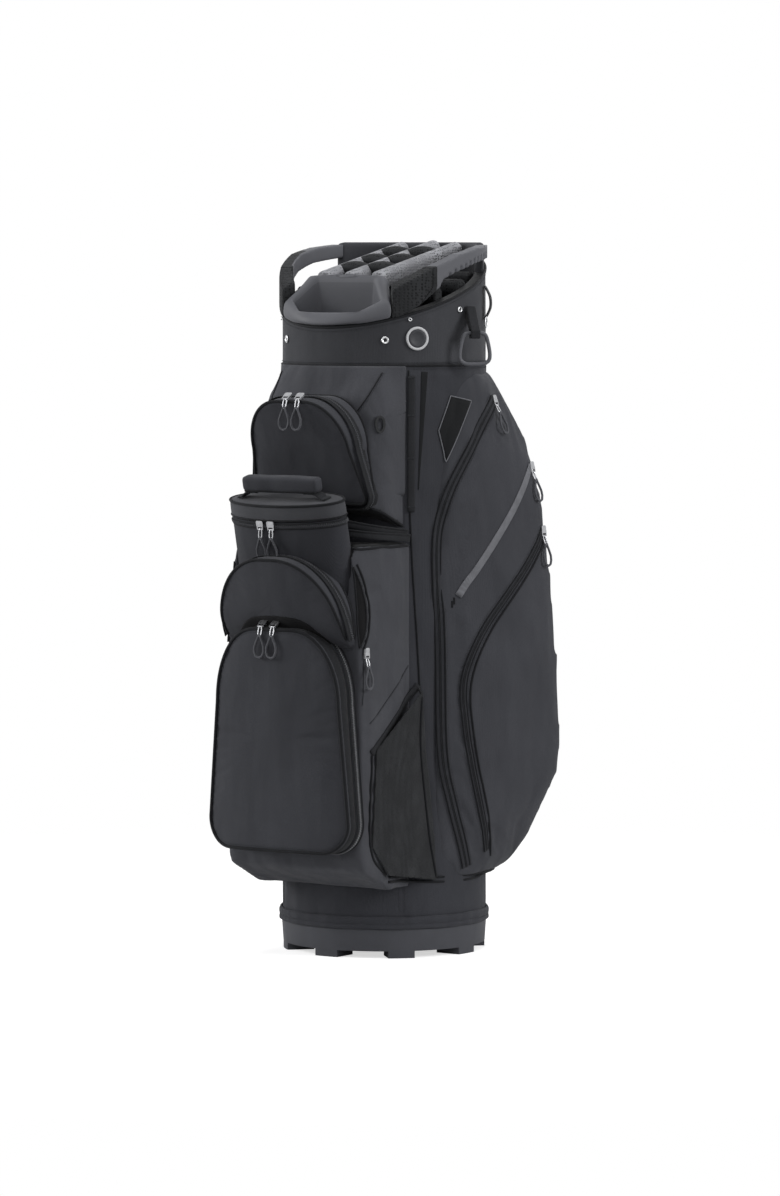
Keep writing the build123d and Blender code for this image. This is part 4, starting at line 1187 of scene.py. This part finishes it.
def putter_well():
    """Thick rounded lip round a six-sided mouth, and the dark sleeve below it."""
    count = 144
    arc = [bearing(WELL_R, a, 0)[:2] for a in np.linspace(0, WELL_BEARING, 16)]
    rim = both_halves([*arc, (64, WELL_REAR_Y), (0, WELL_REAR_Y)], count)
    mouth, sleeve = both_halves(WELL_MOUTH, count), both_halves(WELL_SLEEVE, count)
    inward = unit_rows(mouth - rim)

    def ring(plan, drops):
        drops = np.broadcast_to(drops, count)
        return [np.array((x, y, well_top(x, y) - drop)) for (x, y), drop in zip(plan, drops)]

    foot = np.array([max(4.0, well_top(x, y) - cuff_top(y) - 0.8) for x, y in rim])
    rings = [ring(rim + inward * inset, foot * share) for inset, share in LIP_OUTSIDE]
    rings += [ring(mouth - inward * outset, drop) for outset, drop in LIP_INSIDE]
    rings += [ring(mouth + (sleeve - mouth) * share, drop) for share, drop in WELL_WALL]
    lip = skin("putter_well_lip", rings, GREY_PLASTIC, SHADED_WELL_PLASTIC, LINING)
    # Outer lip and top of the mouth take the grey moulding, the inner wall further down its darker copy as
    # painted shade, and the deepest band the sleeve's dark cloth
    for face in lip.data.polygons:
        ring_index = face.index // count
        face.material_index = 0 if ring_index < 10 else (1 if ring_index < 13 else 2)
    changed(lip, "SMOOTH", factor=0.4, iterations=3)
    settle(lip, "bag", "moulded_grey", "putter_well")
    levels = np.r_[np.linspace(760, 60, 15), 27.0]
    tube = [np.c_[sleeve, np.full(count, z)] for z in levels]
    pipe = thickened(skin("putter_sleeve", tube, LINING, cap_last=True), 1.2, 0.0)
    settle(pipe, "bag", "lining")


GRIP_LOW_Y, GRIP_LOW_Z = (-48.0, -28.0, 10.0, 56.0), (861.0, 870.0, 881.0, 888.0)
GRIP_NOTCHES, NOTCH_HALF, NOTCH_DEPTH, GRIP_FACE_R, GRIP_FOOT_Y = 10, 1.7, 3.2, 126, -57.0
PAD_SLANT_Z, PAD_SLANT, PAD_SLANT_H, PAD_FRONT_Y, PAD_DEPTH = 852.0, math.radians(9.0), 26.0, -96.0, 36.0


def slanted(points):
    """Turns the lower rear corner of a foot forward round the cuff, so that the opening starts on a slant."""
    low = np.clip((PAD_SLANT_Z - points[:, 2]) / PAD_SLANT_H, 0, 1) * (points[:, 1] < -20.0)
    reach = np.hypot(points[:, 0], points[:, 1])
    turn = np.arctan2(points[:, 0], -points[:, 1])
    turn -= PAD_SLANT * low * np.clip((points[:, 1] - PAD_FRONT_Y) / PAD_DEPTH, 0, 1)
    return np.c_[reach * np.sin(turn), -reach * np.cos(turn), points[:, 2]]


def lift_handles():
    """Two grips with a ribbed lower edge, their padded front feet, and the raised rear guard."""
    grip = rounded_copy("right_handle", "right_grip", GRIP_PLASTIC, 1.3, 5)
    points = points_of(grip)
    reach = np.hypot(points[:, 0], points[:, 1])
    for k, y in enumerate(np.linspace(GRIP_LOW_Y[0] + 10.0, GRIP_LOW_Y[-1] - 8.0, GRIP_NOTCHES)):
        top = np.interp(y, GRIP_LOW_Y, GRIP_LOW_Z) + 5.0 + 0.6 * k
        near = np.exp(-(((points[:, 1] - y) / NOTCH_HALF) ** 2)) * np.clip((top - points[:, 2]) / 2.0, 0, 1)
        inward = near * (reach > GRIP_FACE_R) * NOTCH_DEPTH / np.maximum(reach, 1.0)
        points[:, :2] *= (1 - inward)[:, None]
    set_points(grip, slanted(points))
    grip.data.materials.append(DARK_MESH)
    left = settle_both(grip, "left_grip", "moulded_grey", "right_handle", "left_handle")
    # The foot of each grip takes the dark mesh that really covers it; the left grip's outward faces take it
    # too, as painted shade of that side only
    for obj in (grip, left):
        for face in obj.data.polygons:
            away = face.normal.x * face.center.x + face.normal.y * face.center.y
            covered_or_shaded = face.center.y < GRIP_FOOT_Y * MM or (obj is left and away > 0)
            face.material_index = 1 if covered_or_shaded else 0
    pad = rounded_copy("right_handle_pad", "right_grip_pad", DARK_MESH, 1.6, 7)
    set_points(pad, slanted(points_of(pad)))
    other = settle_both(pad, "left_grip_pad", "mesh_dark", "right_handle_pad", "left_handle_pad")
    guard = rounded_copy("rear_guard", "rear_guard_cover", CUFF, 2.0, 6)
    settle(guard, "bag", "shell_fabric", "rear_guard")


def fattened(obj, by):
    """Moves every point outward, as padding under a cover does."""
    normals = np.array([v.normal for v in obj.data.vertices])
    set_points(obj, points_of(obj) + normals * by)
    return obj


HUMP_COUNT, HUMP_HALF, HUMP_DROP, HUMP_H, HUMP_R = 70, 46.0, 9.5, 6.0, 9.0
SHEET_FOOT, SHEET_SPAN, SHEET_WAVE = 24, 820.0, 1.1


def club_divider():
    rails = fattened(rounded_copy("long_rails", "long_rail_covers", GREY_MESH, 1.7, 6), 2.4)
    settle(rails, "bag", "mesh_grey", "long_rails")
    humps = [fattened(rounded_copy("cross_rails", "cross_rail_base", DARK_MESH, 1.7, 6), 1.2)]
    xs = np.linspace(-HUMP_HALF, HUMP_HALF, HUMP_COUNT)
    arch = 1.0 + HUMP_H * np.abs(np.sin(np.pi * xs / RAIL_X)) ** 0.6
    arch[np.abs(xs) > RAIL_X] = 1.0
    upward = np.array([(0.0, 0.0, 1.0)] * HUMP_COUNT)
    for y in CROSS_YS:
        line = np.c_[xs, np.full(HUMP_COUNT, y), RAIL_MID_Z + RAIL_RISE * y - HUMP_DROP + arch]
        humps.append(roll(f"cross_hump_{y:.0f}", calm(line, 4), upward, HUMP_R, DARK_MESH, sides=16))
    cross = joined("cross_rail_covers", humps)
    settle(cross, "bag", "mesh_dark", "cross_rails")
    sheets = solid_copy("divider_sheets", "divider_cloths", LINING)
    bm = bmesh.new()
    bm.from_mesh(sheets.data)
    for z in range(60, 860, 40):
        geometry = bm.verts[:] + bm.edges[:] + bm.faces[:]
        bmesh.ops.bisect_plane(bm, geom=geometry, plane_co=(0, 0, z * MM), plane_no=(0, 0, 1))
    for vert in bm.verts:
        x, y, z = vert.co / MM
        wave = SHEET_WAVE * MM * max(0.0, math.sin(math.pi * (z - SHEET_FOOT) / SHEET_SPAN))
        vert.co.x += wave * math.sin(z / 53.0 + y / 30.0)
        vert.co.y += wave * math.sin(z / 61.0 + x / 27.0 + 1.0)
    bm.to_mesh(sheets.data)
    bm.free()
    settle(sheets, "bag", "lining", "divider_sheets")


REAR_LOOP_AT, REAR_RING_AT, REAR_RING_Z, REAR_RING_COUNT = 112, 110, 806, 32
REAR_LOOP = ((852, 0.4), (848, 3.0), (838, 7.5), (826, 8.0), (816, 4.0), (811, 0.6))


def rear_loop():
    """Webbing loop and plated ring at the rear of the cuff, on both sides."""
    parts = []
    for side in (1, -1):
        out = bearing(1, side * REAR_LOOP_AT, 0)
        path = [bearing(CUFF_R + stand, side * REAR_LOOP_AT, z) for z, stand in REAR_LOOP]
        line = smooth_line(path, 2.0)
        sideways = np.cross(out, (0, 0, 1))
        normals = unit_rows(np.cross(sideways, along(line)))
        normals *= np.sign(normals @ out)[:, None]
        parts.append(tape(f"rear_loop_{side}", line, normals, 11.0, 1.6, WEBBING))
        centre = bearing(CUFF_R + 4.0, side * REAR_RING_AT, REAR_RING_Z)
        hoop = []
        for t in full_turn(REAR_RING_COUNT):
            hoop.append(centre + sideways * 5.0 * math.cos(t) + np.array((0, 0, 6.5)) * math.sin(t))
        facing = np.array([out] * REAR_RING_COUNT)
        parts.append(roll(f"rear_ring_{side}", hoop, facing, 1.1, CHROME, True, sides=8))
    settle(joined("rear_cuff_loops", parts), "bag", "webbing_black")


BADGE_AT, BADGE_Z = 53.6, 787.0
BADGE_RIM = ((15, 0), (15, 1.2), (14.3, 2.1), (12.4, 2.1), (11.8, 1.2))
BADGE_DISC = ((11.9, 0.6), (11.8, 1.3), (8.4, 1.5), (8.1, 1.2), (2.0, 1.3))
EYELETS = ((35.6, 785, 5), (82, 823, 4), (-35.6, 785, 5), (-82, 823, 4), (49.5, 811, 2.6), (-49.5, 811, 2.6))
EYELET_RIM = ((1, 0), (1, 0.8), (0.82, 1.7), (0.6, 1.5), (0.48, 0.6))


def cuff_hardware():
    """Plain round badge, plated eyelets, towel tab and ring, rear loops and the hidden fittings."""
    at, out = bearing(CUFF_R + 0.2, BADGE_AT, BADGE_Z), bearing(1, BADGE_AT, 0)
    ring = lathe("badge_ring_piece", at, out, BADGE_RIM, BADGE_RING, 48)
    disc = lathe("badge_disc", at, out, BADGE_DISC, BADGE_FACE, 48)
    settle(joined("plain_round_badge", [ring, disc]), "bag", "badge_face", "round_badge")
    parts = []
    for k, (angle, z, r) in enumerate(EYELETS):
        at, out = bearing(CUFF_R + 0.2, angle, z), bearing(1, angle, 0)
        hole = ((r * 0.5, 0.3), (r * 0.46, 0.8), (0.4, 0.7))
        parts.append(lathe(f"eyelet_ring_{k}", at, out, [(r * s, h) for s, h in EYELET_RIM], CHROME))
        parts.append(lathe(f"eyelet_hole_{k}", at, out, hole, BLACK_PLASTIC))
    settle(joined("cuff_eyelets", parts), "bag", "rivet_chrome", "cuff_rivets")
    tab = rounded_copy("towel_tab", "towel_webbing", WEBBING, 1.0, 4)
    settle(tab, "bag", "webbing_black", "towel_tab")
    towel_ring()
    rear_loop()
    for name in ("top_frame", "stay_rods", "strap_anchors", "cord_ports"):
        dress(name, BLACK_PLASTIC)


def hanging(joint, name):
    """Pivot of a hinged loop, its axis and the way it hangs."""
    pivot, axis = np.array(joint["pos_m"]) / MM, np.array(joint["axis"])
    low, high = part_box(name)
    fall = (np.array(low) + np.array(high)) / 2 / MM - pivot
    fall -= axis * fall.dot(axis)
    return pivot, axis, fall / np.linalg.norm(fall)


def hung_loop(hinge, half, count, lean=lambda d: 0.0):
    """Closed loop from its right half, as steps out along the hinge and down from it."""
    pivot, axis, fall = hinge
    right = [pivot + axis * x + fall * d + lean(d) for x, d in half]
    left = [pivot - axis * x + fall * d + lean(d) for x, d in half[-2:0:-1]]
    return evenly(right + left, count=count, closed=True)


TOWEL_RING = ((0.0, 0.0), (8.0, 0.0), (13.0, 1.6), (15.5, 6.0), (18.0, 16.0), (19.6, 27.0), (18.4, 34.5),
              (12.5, 38.6), (5.0, 39.4), (0.0, 39.4))


def towel_ring():
    joint = next(j for j in frame["joints"] if j["name"] == "towel_ring_hinge")
    hinge = hanging(joint, "towel_ring")
    loop = hung_loop(hinge, smooth_line(TOWEL_RING, 1.5), 88)
    facing = np.array([np.cross(hinge[1], hinge[2])] * len(loop))
    settle(roll("towel_loop", loop, facing, 2.5, GREY_PLASTIC, True), "ring", "moulded_grey", "towel_ring")


# Insulated cooler


def cooler_point(x, across, up):
    """Point in the leaning cooler: across toward the tube, up along its wall."""
    c, s = math.cos(COOLER_LEAN), math.sin(COOLER_LEAN)
    return np.array((x, COOLER_SEAM[1] + across * c - up * s, COOLER_SEAM[2] + across * s + up * c))


def cooler_ring(grow, up):
    """Oval line round the cooler, outside its wall by grow."""
    a, b = COOLER_A + grow, COOLER_B + grow
    return [cooler_point(a * math.cos(t), b * math.sin(t), up) for t in full_turn(96)]


def cooler_shell(name, profile, *finishes):
    """Closed oval form from steps of (growth, height)."""
    return skin(name, [cooler_ring(g, u) for g, u in profile], *finishes, cap_first=True, cap_last=True)


COOLER_OUTSIDE = ((-9.0, -127.6), (-4.0, -127.2), (-1.4, -124.5), (-0.4, -118), (0.1, -95), (0.2, -60),
                  (0.0, -30), (-0.2, -12), (-0.3, -4), (-0.4, -0.8))
COOLER_INSIDE = ((-1.8, -0.4), (-3.6, -0.9), (-3.9, -6), (-3.9, -60), (-3.9, -112), (-5.0, -122),
                 (-9.0, -123.6))
COOLER_ZIP_UP, COOLER_FLOOR_UP = -5.5, -125.5
LID_PROFILE = ((-3.0, 0.6), (0.2, 0.6), (0.9, 3.0), (0.8, 9), (0.6, 16), (0.2, 19.5), (-1.6, 21.6),
               (-8, 22.4), (-20, 23.0))


def cooler():
    cup = cooler_shell("cooler_pouch", COOLER_OUTSIDE + COOLER_INSIDE, COOLER, FOIL)
    c, s = math.cos(COOLER_LEAN), math.sin(COOLER_LEAN)
    for face in cup.data.polygons:
        x, y, z = np.array(face.center) / MM - COOLER_SEAM
        up = z * c - y * s
        across = (y + up * s) / c
        inside = math.hypot(x / (COOLER_A - 2), across / (COOLER_B - 2)) < 1.0 and up > COOLER_FLOOR_UP
        face.material_index = 1 if inside else 0
    settle(cup, "bag", "cooler_fabric", "cooler_cup")
    line = np.array(cooler_ring(-0.2, COOLER_ZIP_UP))
    out = unit_rows((line - cooler_point(0, 0, COOLER_ZIP_UP)) * (COOLER_B / COOLER_A, 1, 1))
    settle(zip_line("cooler_zip", line, out, TEETH, 8.0, True), "bag", "webbing_black")

    lid = cooler_shell("cooler_lid_cover", LID_PROFILE, LID)
    settle(lid, "lid", "cooler_fabric", "cooler_lid")
    trim = [
        roll("lid_piping", cooler_ring(-0.2, 20.6), out, 1.8, PIPING, True),
        roll("lid_foot_piping", cooler_ring(0.5, 2.2), out, 1.3, PIPING, True),
    ]
    settle(joined("cooler_lid_piping", trim), "lid", "cooler_fabric")
    grab_handle()


WRAP_HALF = ((57.5, 0.3), (57.2, 0.62), (56, 0.84), (53, 0.95), (46, 0.98), (22, 1.0))
WRAP_UP, WRAP_ACROSS = 42.4, 5.5
GRAB_STRAP = ((36, 31.2), (49, 31.0), (56, 28.6), (60.5, 24.6), (67, 23.8))


def grab_handle():
    """Padded wrap over a webbing strap whose ends run down to the lid."""
    rings = []
    for x, size in (*[(-x, size) for x, size in WRAP_HALF], (0, 1.02), *reversed(WRAP_HALF)):
        ring = []
        for t in full_turn(40):
            c, h = math.cos(t), math.sin(t)
            across = 9.0 * size * math.copysign(abs(c) ** 0.5, c)
            up = 10.0 * size * math.copysign(abs(h) ** 0.5, h)
            ring.append(cooler_point(x, across - WRAP_ACROSS, WRAP_UP + up + 0.5 * math.sin(x / 9.0) * h))
        rings.append(ring)
    wrap = skin("handle_wrap", rings, PANEL, cap_first=True, cap_last=True)
    flap = [cooler_point(x, -12.5, 34.0) for x in np.linspace(-54, 54, 30)]
    down = cooler_point(0, -0.6, -0.8) - cooler_point(0, 0, 0)
    parts = [wrap, roll("wrap_edge", flap, np.array([down] * len(flap)), 1.7, PIPING)]
    across = cooler_point(0, 1, 0) - cooler_point(0, 0, 0)
    for side in (1, -1):
        path = smooth_line([cooler_point(side * x, -5.0, up) for x, up in GRAB_STRAP], 2.0)
        normals = unit_rows(np.cross(along(path), across)) * side
        normals *= np.sign(normals[:, 2:3])
        parts.append(tape(f"handle_strap_{side}", path, normals, 16.0, 2.2, WEBBING))
    handle = joined("cooler_grab_handle", parts)
    settle(handle, "lid", "cooler_fabric", "cooler_handle")


# Mesh pockets, strips and shoulder strap


NET_OUT, NET_MIDDLE_Y, NET_MIDDLE_Z, NET_TOP_Z = (136.0, -15.7, 0.0), -118, 200, 268
STRIP_AT, STRIP_TACKS = 50, (574, 636, 690, 738)


def mesh_pockets():
    net = rounded_copy("right_mesh_pocket", "right_mesh_net", POCKET_MESH, 1.4, 3)
    points = points_of(net)
    out = unit_rows([NET_OUT])[0]
    y, z = points[:, 1], points[:, 2]
    middle = np.exp(-(((y - NET_MIDDLE_Y) / 42) ** 2) - ((z - NET_MIDDLE_Z) / 75) ** 2)
    folds = np.sin(y / 6.5 + np.sin(z / 38.0) * 1.6) * np.clip((NET_TOP_Z - z) / 120, 0, 1)
    inside = np.exp(-(((y - NET_MIDDLE_Y) / 52) ** 2))
    set_points(net, points + out * (middle * 5.0 + 0.9 * folds * inside)[:, None])
    settle_both(net, "left_mesh_net", "pocket_mesh", "right_mesh_pocket", "left_mesh_pocket")
    return net


def strap_and_strips():
    strap = rounded_copy("shoulder_strap", "shoulder_strap_pad", DARK_MESH, 2.0, 6)
    settle(strap, "bag", "webbing_black", "shoulder_strap")
    strips = []
    for side in (1, -1):
        line = np.array([bearing(TUBE_R + 0.3, side * STRIP_AT, z) for z in np.arange(568, 743, 4.0)])
        out = outward([side * STRIP_AT] * len(line))
        strips.append(tape(f"strip_{side}", line, out, 9.0, 1.5, WEBBING))
        for z in STRIP_TACKS:
            bar = np.array([bearing(TUBE_R + 2.0, side * STRIP_AT + t, z) for t in (-1.8, 0, 1.8)])
            strips.append(seam(f"bartack_{side}_{z}", bar, out[:3], (0.9, 2.4, 0.7), 0.8))
    settle(joined("strap_strip_webbing", strips), "bag", "webbing_black", "strap_strips")


# Zip sliders and pulls


PULL_TAB = ((0.0, 0.0), (1.7, 1.0), (2.5, 4.0), (2.5, 9.0), (1.6, 11.6), (0.0, 12.2))
PULL_CORD = ((0.0, 10.4), (1.5, 11.6), (2.2, 14.5), (4.8, 20.0), (7.2, 26.5), (7.2, 32.5), (4.8, 37.6),
             (0.0, 39.6))


def zip_pulls():
    for joint in frame["joints"]:
        if not joint["name"].endswith("_pull_hinge"):
            continue
        name = joint["name"][: -len("_hinge")]
        dress(name.replace("_pull", "_slider"), STEEL)
        hinge = hanging(joint, name)
        normal = np.cross(hinge[1], hinge[2])
        normal *= np.sign(normal[:2].dot(hinge[0][:2]))
        parts = []
        for end, half, count, radius, finish in (
            ("_tab", PULL_TAB, 40, 0.95, STEEL),
            ("_loop", PULL_CORD, 72, 1.5, CORD),
        ):
            loop = hung_loop(hinge, half, count, lambda d: normal * (0.2 * min(d, 12.0) + 0.05 * d))
            parts.append(roll(name + end, loop, np.array([normal] * count), radius, finish, True, sides=8))
        settle(joined(name + "_cord_loop", parts), joint["child"], "pull_rubber", name)


# Zips, piping and seams of the sides


def hidden_zip(name, line, normals, width, edges):
    """Reversed-coil zip: dark band with a fine closed seam down its middle, between two folded edges."""
    side = across_line(line, normals)
    parts = [tape(name + "_band", line, normals, width, 0.9, ZIP_BAND, lift=0.2)]
    for k, shift in enumerate((-0.9, 0.9)):
        lip = line + side * shift + normals * 1.1
        parts.append(roll(f"{name}_lip_{k}", lip, normals, 0.75, BINDING, sides=6))
    for k, (shift, radius) in enumerate(zip((-1, 1), edges)):
        edge = line + side * shift * (width / 2) + normals * 0.7
        parts.append(roll(f"{name}_edge_{k}", edge, normals, radius, PIPING, sides=8))
        beyond = line + side * shift * (width / 2 + 3.2) + normals * 0.35
        parts.append(seam(f"{name}_stitch_{k}", beyond, normals))
    return parts


FRONT_ZIP = ((141, 45, 709), (143, 11, 676), (138, -20, 632), (130, -41, 594), (123, -53, 552),
             (121, -56, 506), (124, -53, 405), (126, -51, 264), (133, -41, 200), (136, -12, 113))
REAR_ZIP = ((175, 104, 540), (173, 66, 496), (167, 30, 458), (155, -3, 416), (144, -23, 370), (142, -28, 328),
            (148, -20, 251), (152, -4, 186), (148, 16, 132))
REAR_FOLD = ((176, 112, 534), (175, 76, 493), (170, 42, 457), (160, 8, 416), (150, -14, 370), (147, -20, 327),
             (153, -12, 250), (156, 6, 185), (152, 28, 122))
PALE_ZIP = ((163, 92, 622), (152, 36, 548), (138, -33, 460))
PATCH = ((128, -36, 714), (137, -3, 707), (127, -44, 630), (121, -53, 670))
STRIP_SEAM = ((99, -87, 747), (102, -89, 609), (105, -86, 507), (106, -78, 405), (108, -75, 342))
PLEAT = ((112, -70, 745), (109, -74, 659), (107, -77, 596))
FOOT_BINDING = ((105, -141, 109), (122, -50, 102), (134, 39, 102), (110, 90, 104))
NET_TOP = ((106, -179, 268), (106, -97, 328), (109, -78, 348))
NET_EDGES = {
    "net_front": ((106, -178, 266), (107, -182, 150), (108, -150, 112)),
    "net_rear": ((109, -78, 344), (119, -90, 267), (121, -75, 164), (122, -59, 103)),
}
CHEEK_SEAMS = {
    "cheek_seam": ((105, -181, 306), (105, -88, 374)),
    "slit_seam": ((105, -189, 437), (105, -195, 330)),
}
SIDE_VIEW, SIDE_FACING = (-0.8, 0.6, 0), (0.8, -0.6, 0)
SLIT_FRONT = ((93, -200, 503), (96, -200, 482), (98.5, -200, 455), (100, -200, 425), (102, -199, 402))
SLIT_REAR = ((93, -199, 504), (102, -192, 480), (105, -187, 450), (105, -189, 425), (103, -198, 402))
SHELF_EDGE = ((50, -172, 582), (64, -166, 579), (82, -150, 573), (93, -132, 567), (98, -88, 545))
SHELF_LAYERS = (
    ((64, -180, 556), (94, -150, 548), (103, -96, 541)),
    ((64, -186, 545), (98, -158, 540), (106, -96, 535)),
)
CHEEK_TOP = ((84, -197, 528), (100, -196, 528), (105, -186, 528), (106, -140, 528), (107, -88, 528))
SHOULDER_SEAM = ((70, -162, 694), (74, -140, 716), (76, -112, 744))
SHOULDER_VIEW = (-0.55, 0.84, 0)


def piped(name, trees, path, step, lift, passes, radius):
    """Piping pressed onto cloth along a few given points."""
    line, normals = pressed(trees, smooth_line(path, step), lift, passes)
    return roll(name, line, normals, radius, PIPING, sides=8)


def slit_zip(body):
    """Half-open zip: near-black lens of painted shade between its two edges, the teeth and a fold behind
    them.
    """
    ahead, out_a = pressed(body, evenly(smooth_line(SLIT_FRONT, 3.0), count=34), 0.7, 4)
    behind, out_b = pressed(body, evenly(smooth_line(SLIT_REAR, 3.0), count=34), 0.7, 4)
    shares = np.linspace(0, 1, 6)
    rows = [pressed(body, ahead * (1 - share) + behind * share, 0.7, 0)[0] for share in shares]
    side = across_line(behind, out_b)
    side *= np.sign(side[:, 1:2])
    fold, out_c = pressed(body, behind + side * 6.0, 0.3, 4)
    # The lens is a near-black sheet: painted shade of the pocket's inside, seen through the open zip
    return [
        thickened(skin("slit_dark", rows, PAINTED_SHADE, closed=False), 0.6, 0.0),
        roll("slit_front_edge", ahead + out_a * 0.3, out_a, 1.3, PIPING, sides=8),
        roll("slit_rear_edge", behind + out_b * 0.4, out_b, 1.6, TAPE, sides=8),
        row("slit_teeth", behind + out_b * 1.6, out_b, 1.9, (1.2, 1.6, 0.8), TEETH),
        roll("slit_fold", fold, out_c, 1.5, PIPING, sides=8),
    ]


def cheek_trim(front, shoulder, cover):
    """Half-open slit zip, the layered shelf beside the cooler, and the shoulder seam."""
    body, upper = cloth_surface(front), cloth_surface(shoulder)
    parts = slit_zip(body)
    line, normals = pressed(upper, smooth_line(SHELF_EDGE, 4.0), 0.4, 5)
    parts.append(roll("shelf_edge", line, normals, 2.0, PIPING, sides=8))
    parts.append(stitched("shelf_stitch", line, normals, 4.0))
    for k, path in enumerate(SHELF_LAYERS):
        line = smooth_line(path, 4.0)
        flat = unit_rows(np.cross(along(line), (0, 0, 1)))
        flat *= np.sign(flat[:, :1])
        parts.append(tape(f"shelf_layer_{k}", line, flat, 8.0, 1.6, BINDING))
        parts.append(roll(f"shelf_lip_{k}", line + flat * 1.0 + (0, 0, 4.0), flat, 1.5, PIPING, sides=8))
    parts.append(piped("cheek_top_edge", body, CHEEK_TOP, 4.0, 0.4, 5, 1.8))
    line, normals = laid(cloth_surface(shoulder, cover), smooth_line(SHOULDER_SEAM, 4.0), SHOULDER_VIEW, 0.5)
    parts.append(roll("shoulder_seam", line, normals, 0.9, PIPING, sides=6))
    parts.append(stitched("shoulder_stitch", line, normals, 2.4))
    settle_both(joined("right_cheek_trim", parts), "left_cheek_trim", "webbing_black")


def plain_patch(cloth):
    """Bare square patch with a pale rim."""
    corners = np.array(PATCH, float)
    shares = np.linspace(0, 1, 12)
    grid = []
    for v in shares:
        left = corners[0] * (1 - v) + corners[3] * v
        right = corners[1] * (1 - v) + corners[2] * v
        grid.append(laid(cloth, [left * (1 - u) + right * u for u in shares], SIDE_VIEW, 1.3)[0])
    patch = thickened(skin("plain_patch", grid, LINING, closed=False), 0.5, 0.0)
    border = np.vstack([grid[0], [g[-1] for g in grid[1:]], grid[-1][-2::-1], [g[0] for g in grid[-2:0:-1]]])
    rim = evenly(border, count=90, closed=True)
    return [patch, roll("patch_rim", rim, np.array([SIDE_FACING] * 90), 0.8, PALE_STRIP, True, sides=6)]


def side_trim(side, tube, front, net):
    """Zips, pale strip, plain patch, pleat and bindings of the right side, then the same for the left."""
    pocket, both, all_cloth = cloth_surface(side), cloth_surface(side, tube), cloth_surface(side, tube, front)
    line, normals = pressed(both, smooth_line(FRONT_ZIP, 4.0), 0.5, 8)
    parts = hidden_zip("front_zip", line, normals, 12.0, (1.3, 1.0))
    line, normals = pressed(pocket, smooth_line(REAR_ZIP, 4.0), 0.3, 8)
    parts += hidden_zip("rear_zip", line, normals, 8.0, (1.0, 1.0))
    parts.append(piped("rear_fold", pocket, REAR_FOLD, 4.0, 0.2, 8, 1.5))
    line, normals = pressed(pocket, smooth_line(PALE_ZIP, 4.0), 0.4, 6)
    parts.append(tape("pale_strip", line, normals, 9.5, 0.9, PALE_STRIP, lift=0.1))
    ahead = along(line)[-1]
    for k in range(2):
        tack = line[-1] + ahead * (8 + 5 * k) + across_line(line, normals)[-1] * 1.0
        bar, out = pressed(pocket, [tack - (0, 0, 4), tack, tack + (0, 0, 4)], 0.5, 0)
        parts.append(row(f"bartack_{k}", bar, out, 0.8, (0.9, 3.0, 0.8), PIPING))
    parts += plain_patch(both)
    parts.append(piped("strip_seam", cloth_surface(tube, front), STRIP_SEAM, 5.0, 0.2, 6, 1.3))
    line, normals = pressed(cloth_surface(tube), smooth_line(PLEAT, 5.0), 0.1, 4)
    parts.append(tape("pleat_shadow", line, normals, np.linspace(9.0, 1.2, len(line)), 0.5, LINING))
    for k, drop in enumerate((0.0, 6.0)):
        path = np.array(FOOT_BINDING) - (0, 0, drop)
        parts.append(piped(f"foot_binding_{k}", all_cloth, path, 5.0, 0.4, 6, 1.7))

    net_and_front = cloth_surface(net, front, tube)
    line, normals = pressed(net_and_front, smooth_line(NET_TOP, 4.0), 0.3, 4)
    parts.append(tape("net_top_binding", line, normals, 9.0, 1.4, BINDING, bow=0.5))
    for name, path in NET_EDGES.items():
        line, normals = laid(net_and_front, smooth_line(path, 4.0), SIDE_VIEW, 0.6)
        parts.append(roll(name + "_piping", calm(line, 5), normals, 1.6, PIPING, sides=8))
    for name, path in CHEEK_SEAMS.items():
        line, normals = pressed(cloth_surface(front), smooth_line(path, 4.0), 0.05, 3)
        parts.append(stitched(name, line, normals, 1.6))
        parts.append(roll(name + "_fold", line, normals, 0.5, PIPING, sides=6))
    settle_both(joined("right_side_trim", parts), "left_side_trim", "webbing_black")


# Main pieces


camera_and_light()
pale_floor()
tube_cloth = round_tube()
base_and_hem()
lower_pocket()
upper_pocket()
mid_pocket()
front_cloth, shoulder_cloth, side_cloth = big_bodies()
cuff_ring()
putter_well()
lift_handles()
club_divider()
cuff_hardware()
cooler()
mesh_net = mesh_pockets()
strap_and_strips()
side_trim(side_cloth, tube_cloth, front_cloth, mesh_net)
cheek_trim(front_cloth, shoulder_cloth, yoke(shoulder_cloth, tube_cloth))
zip_pulls()
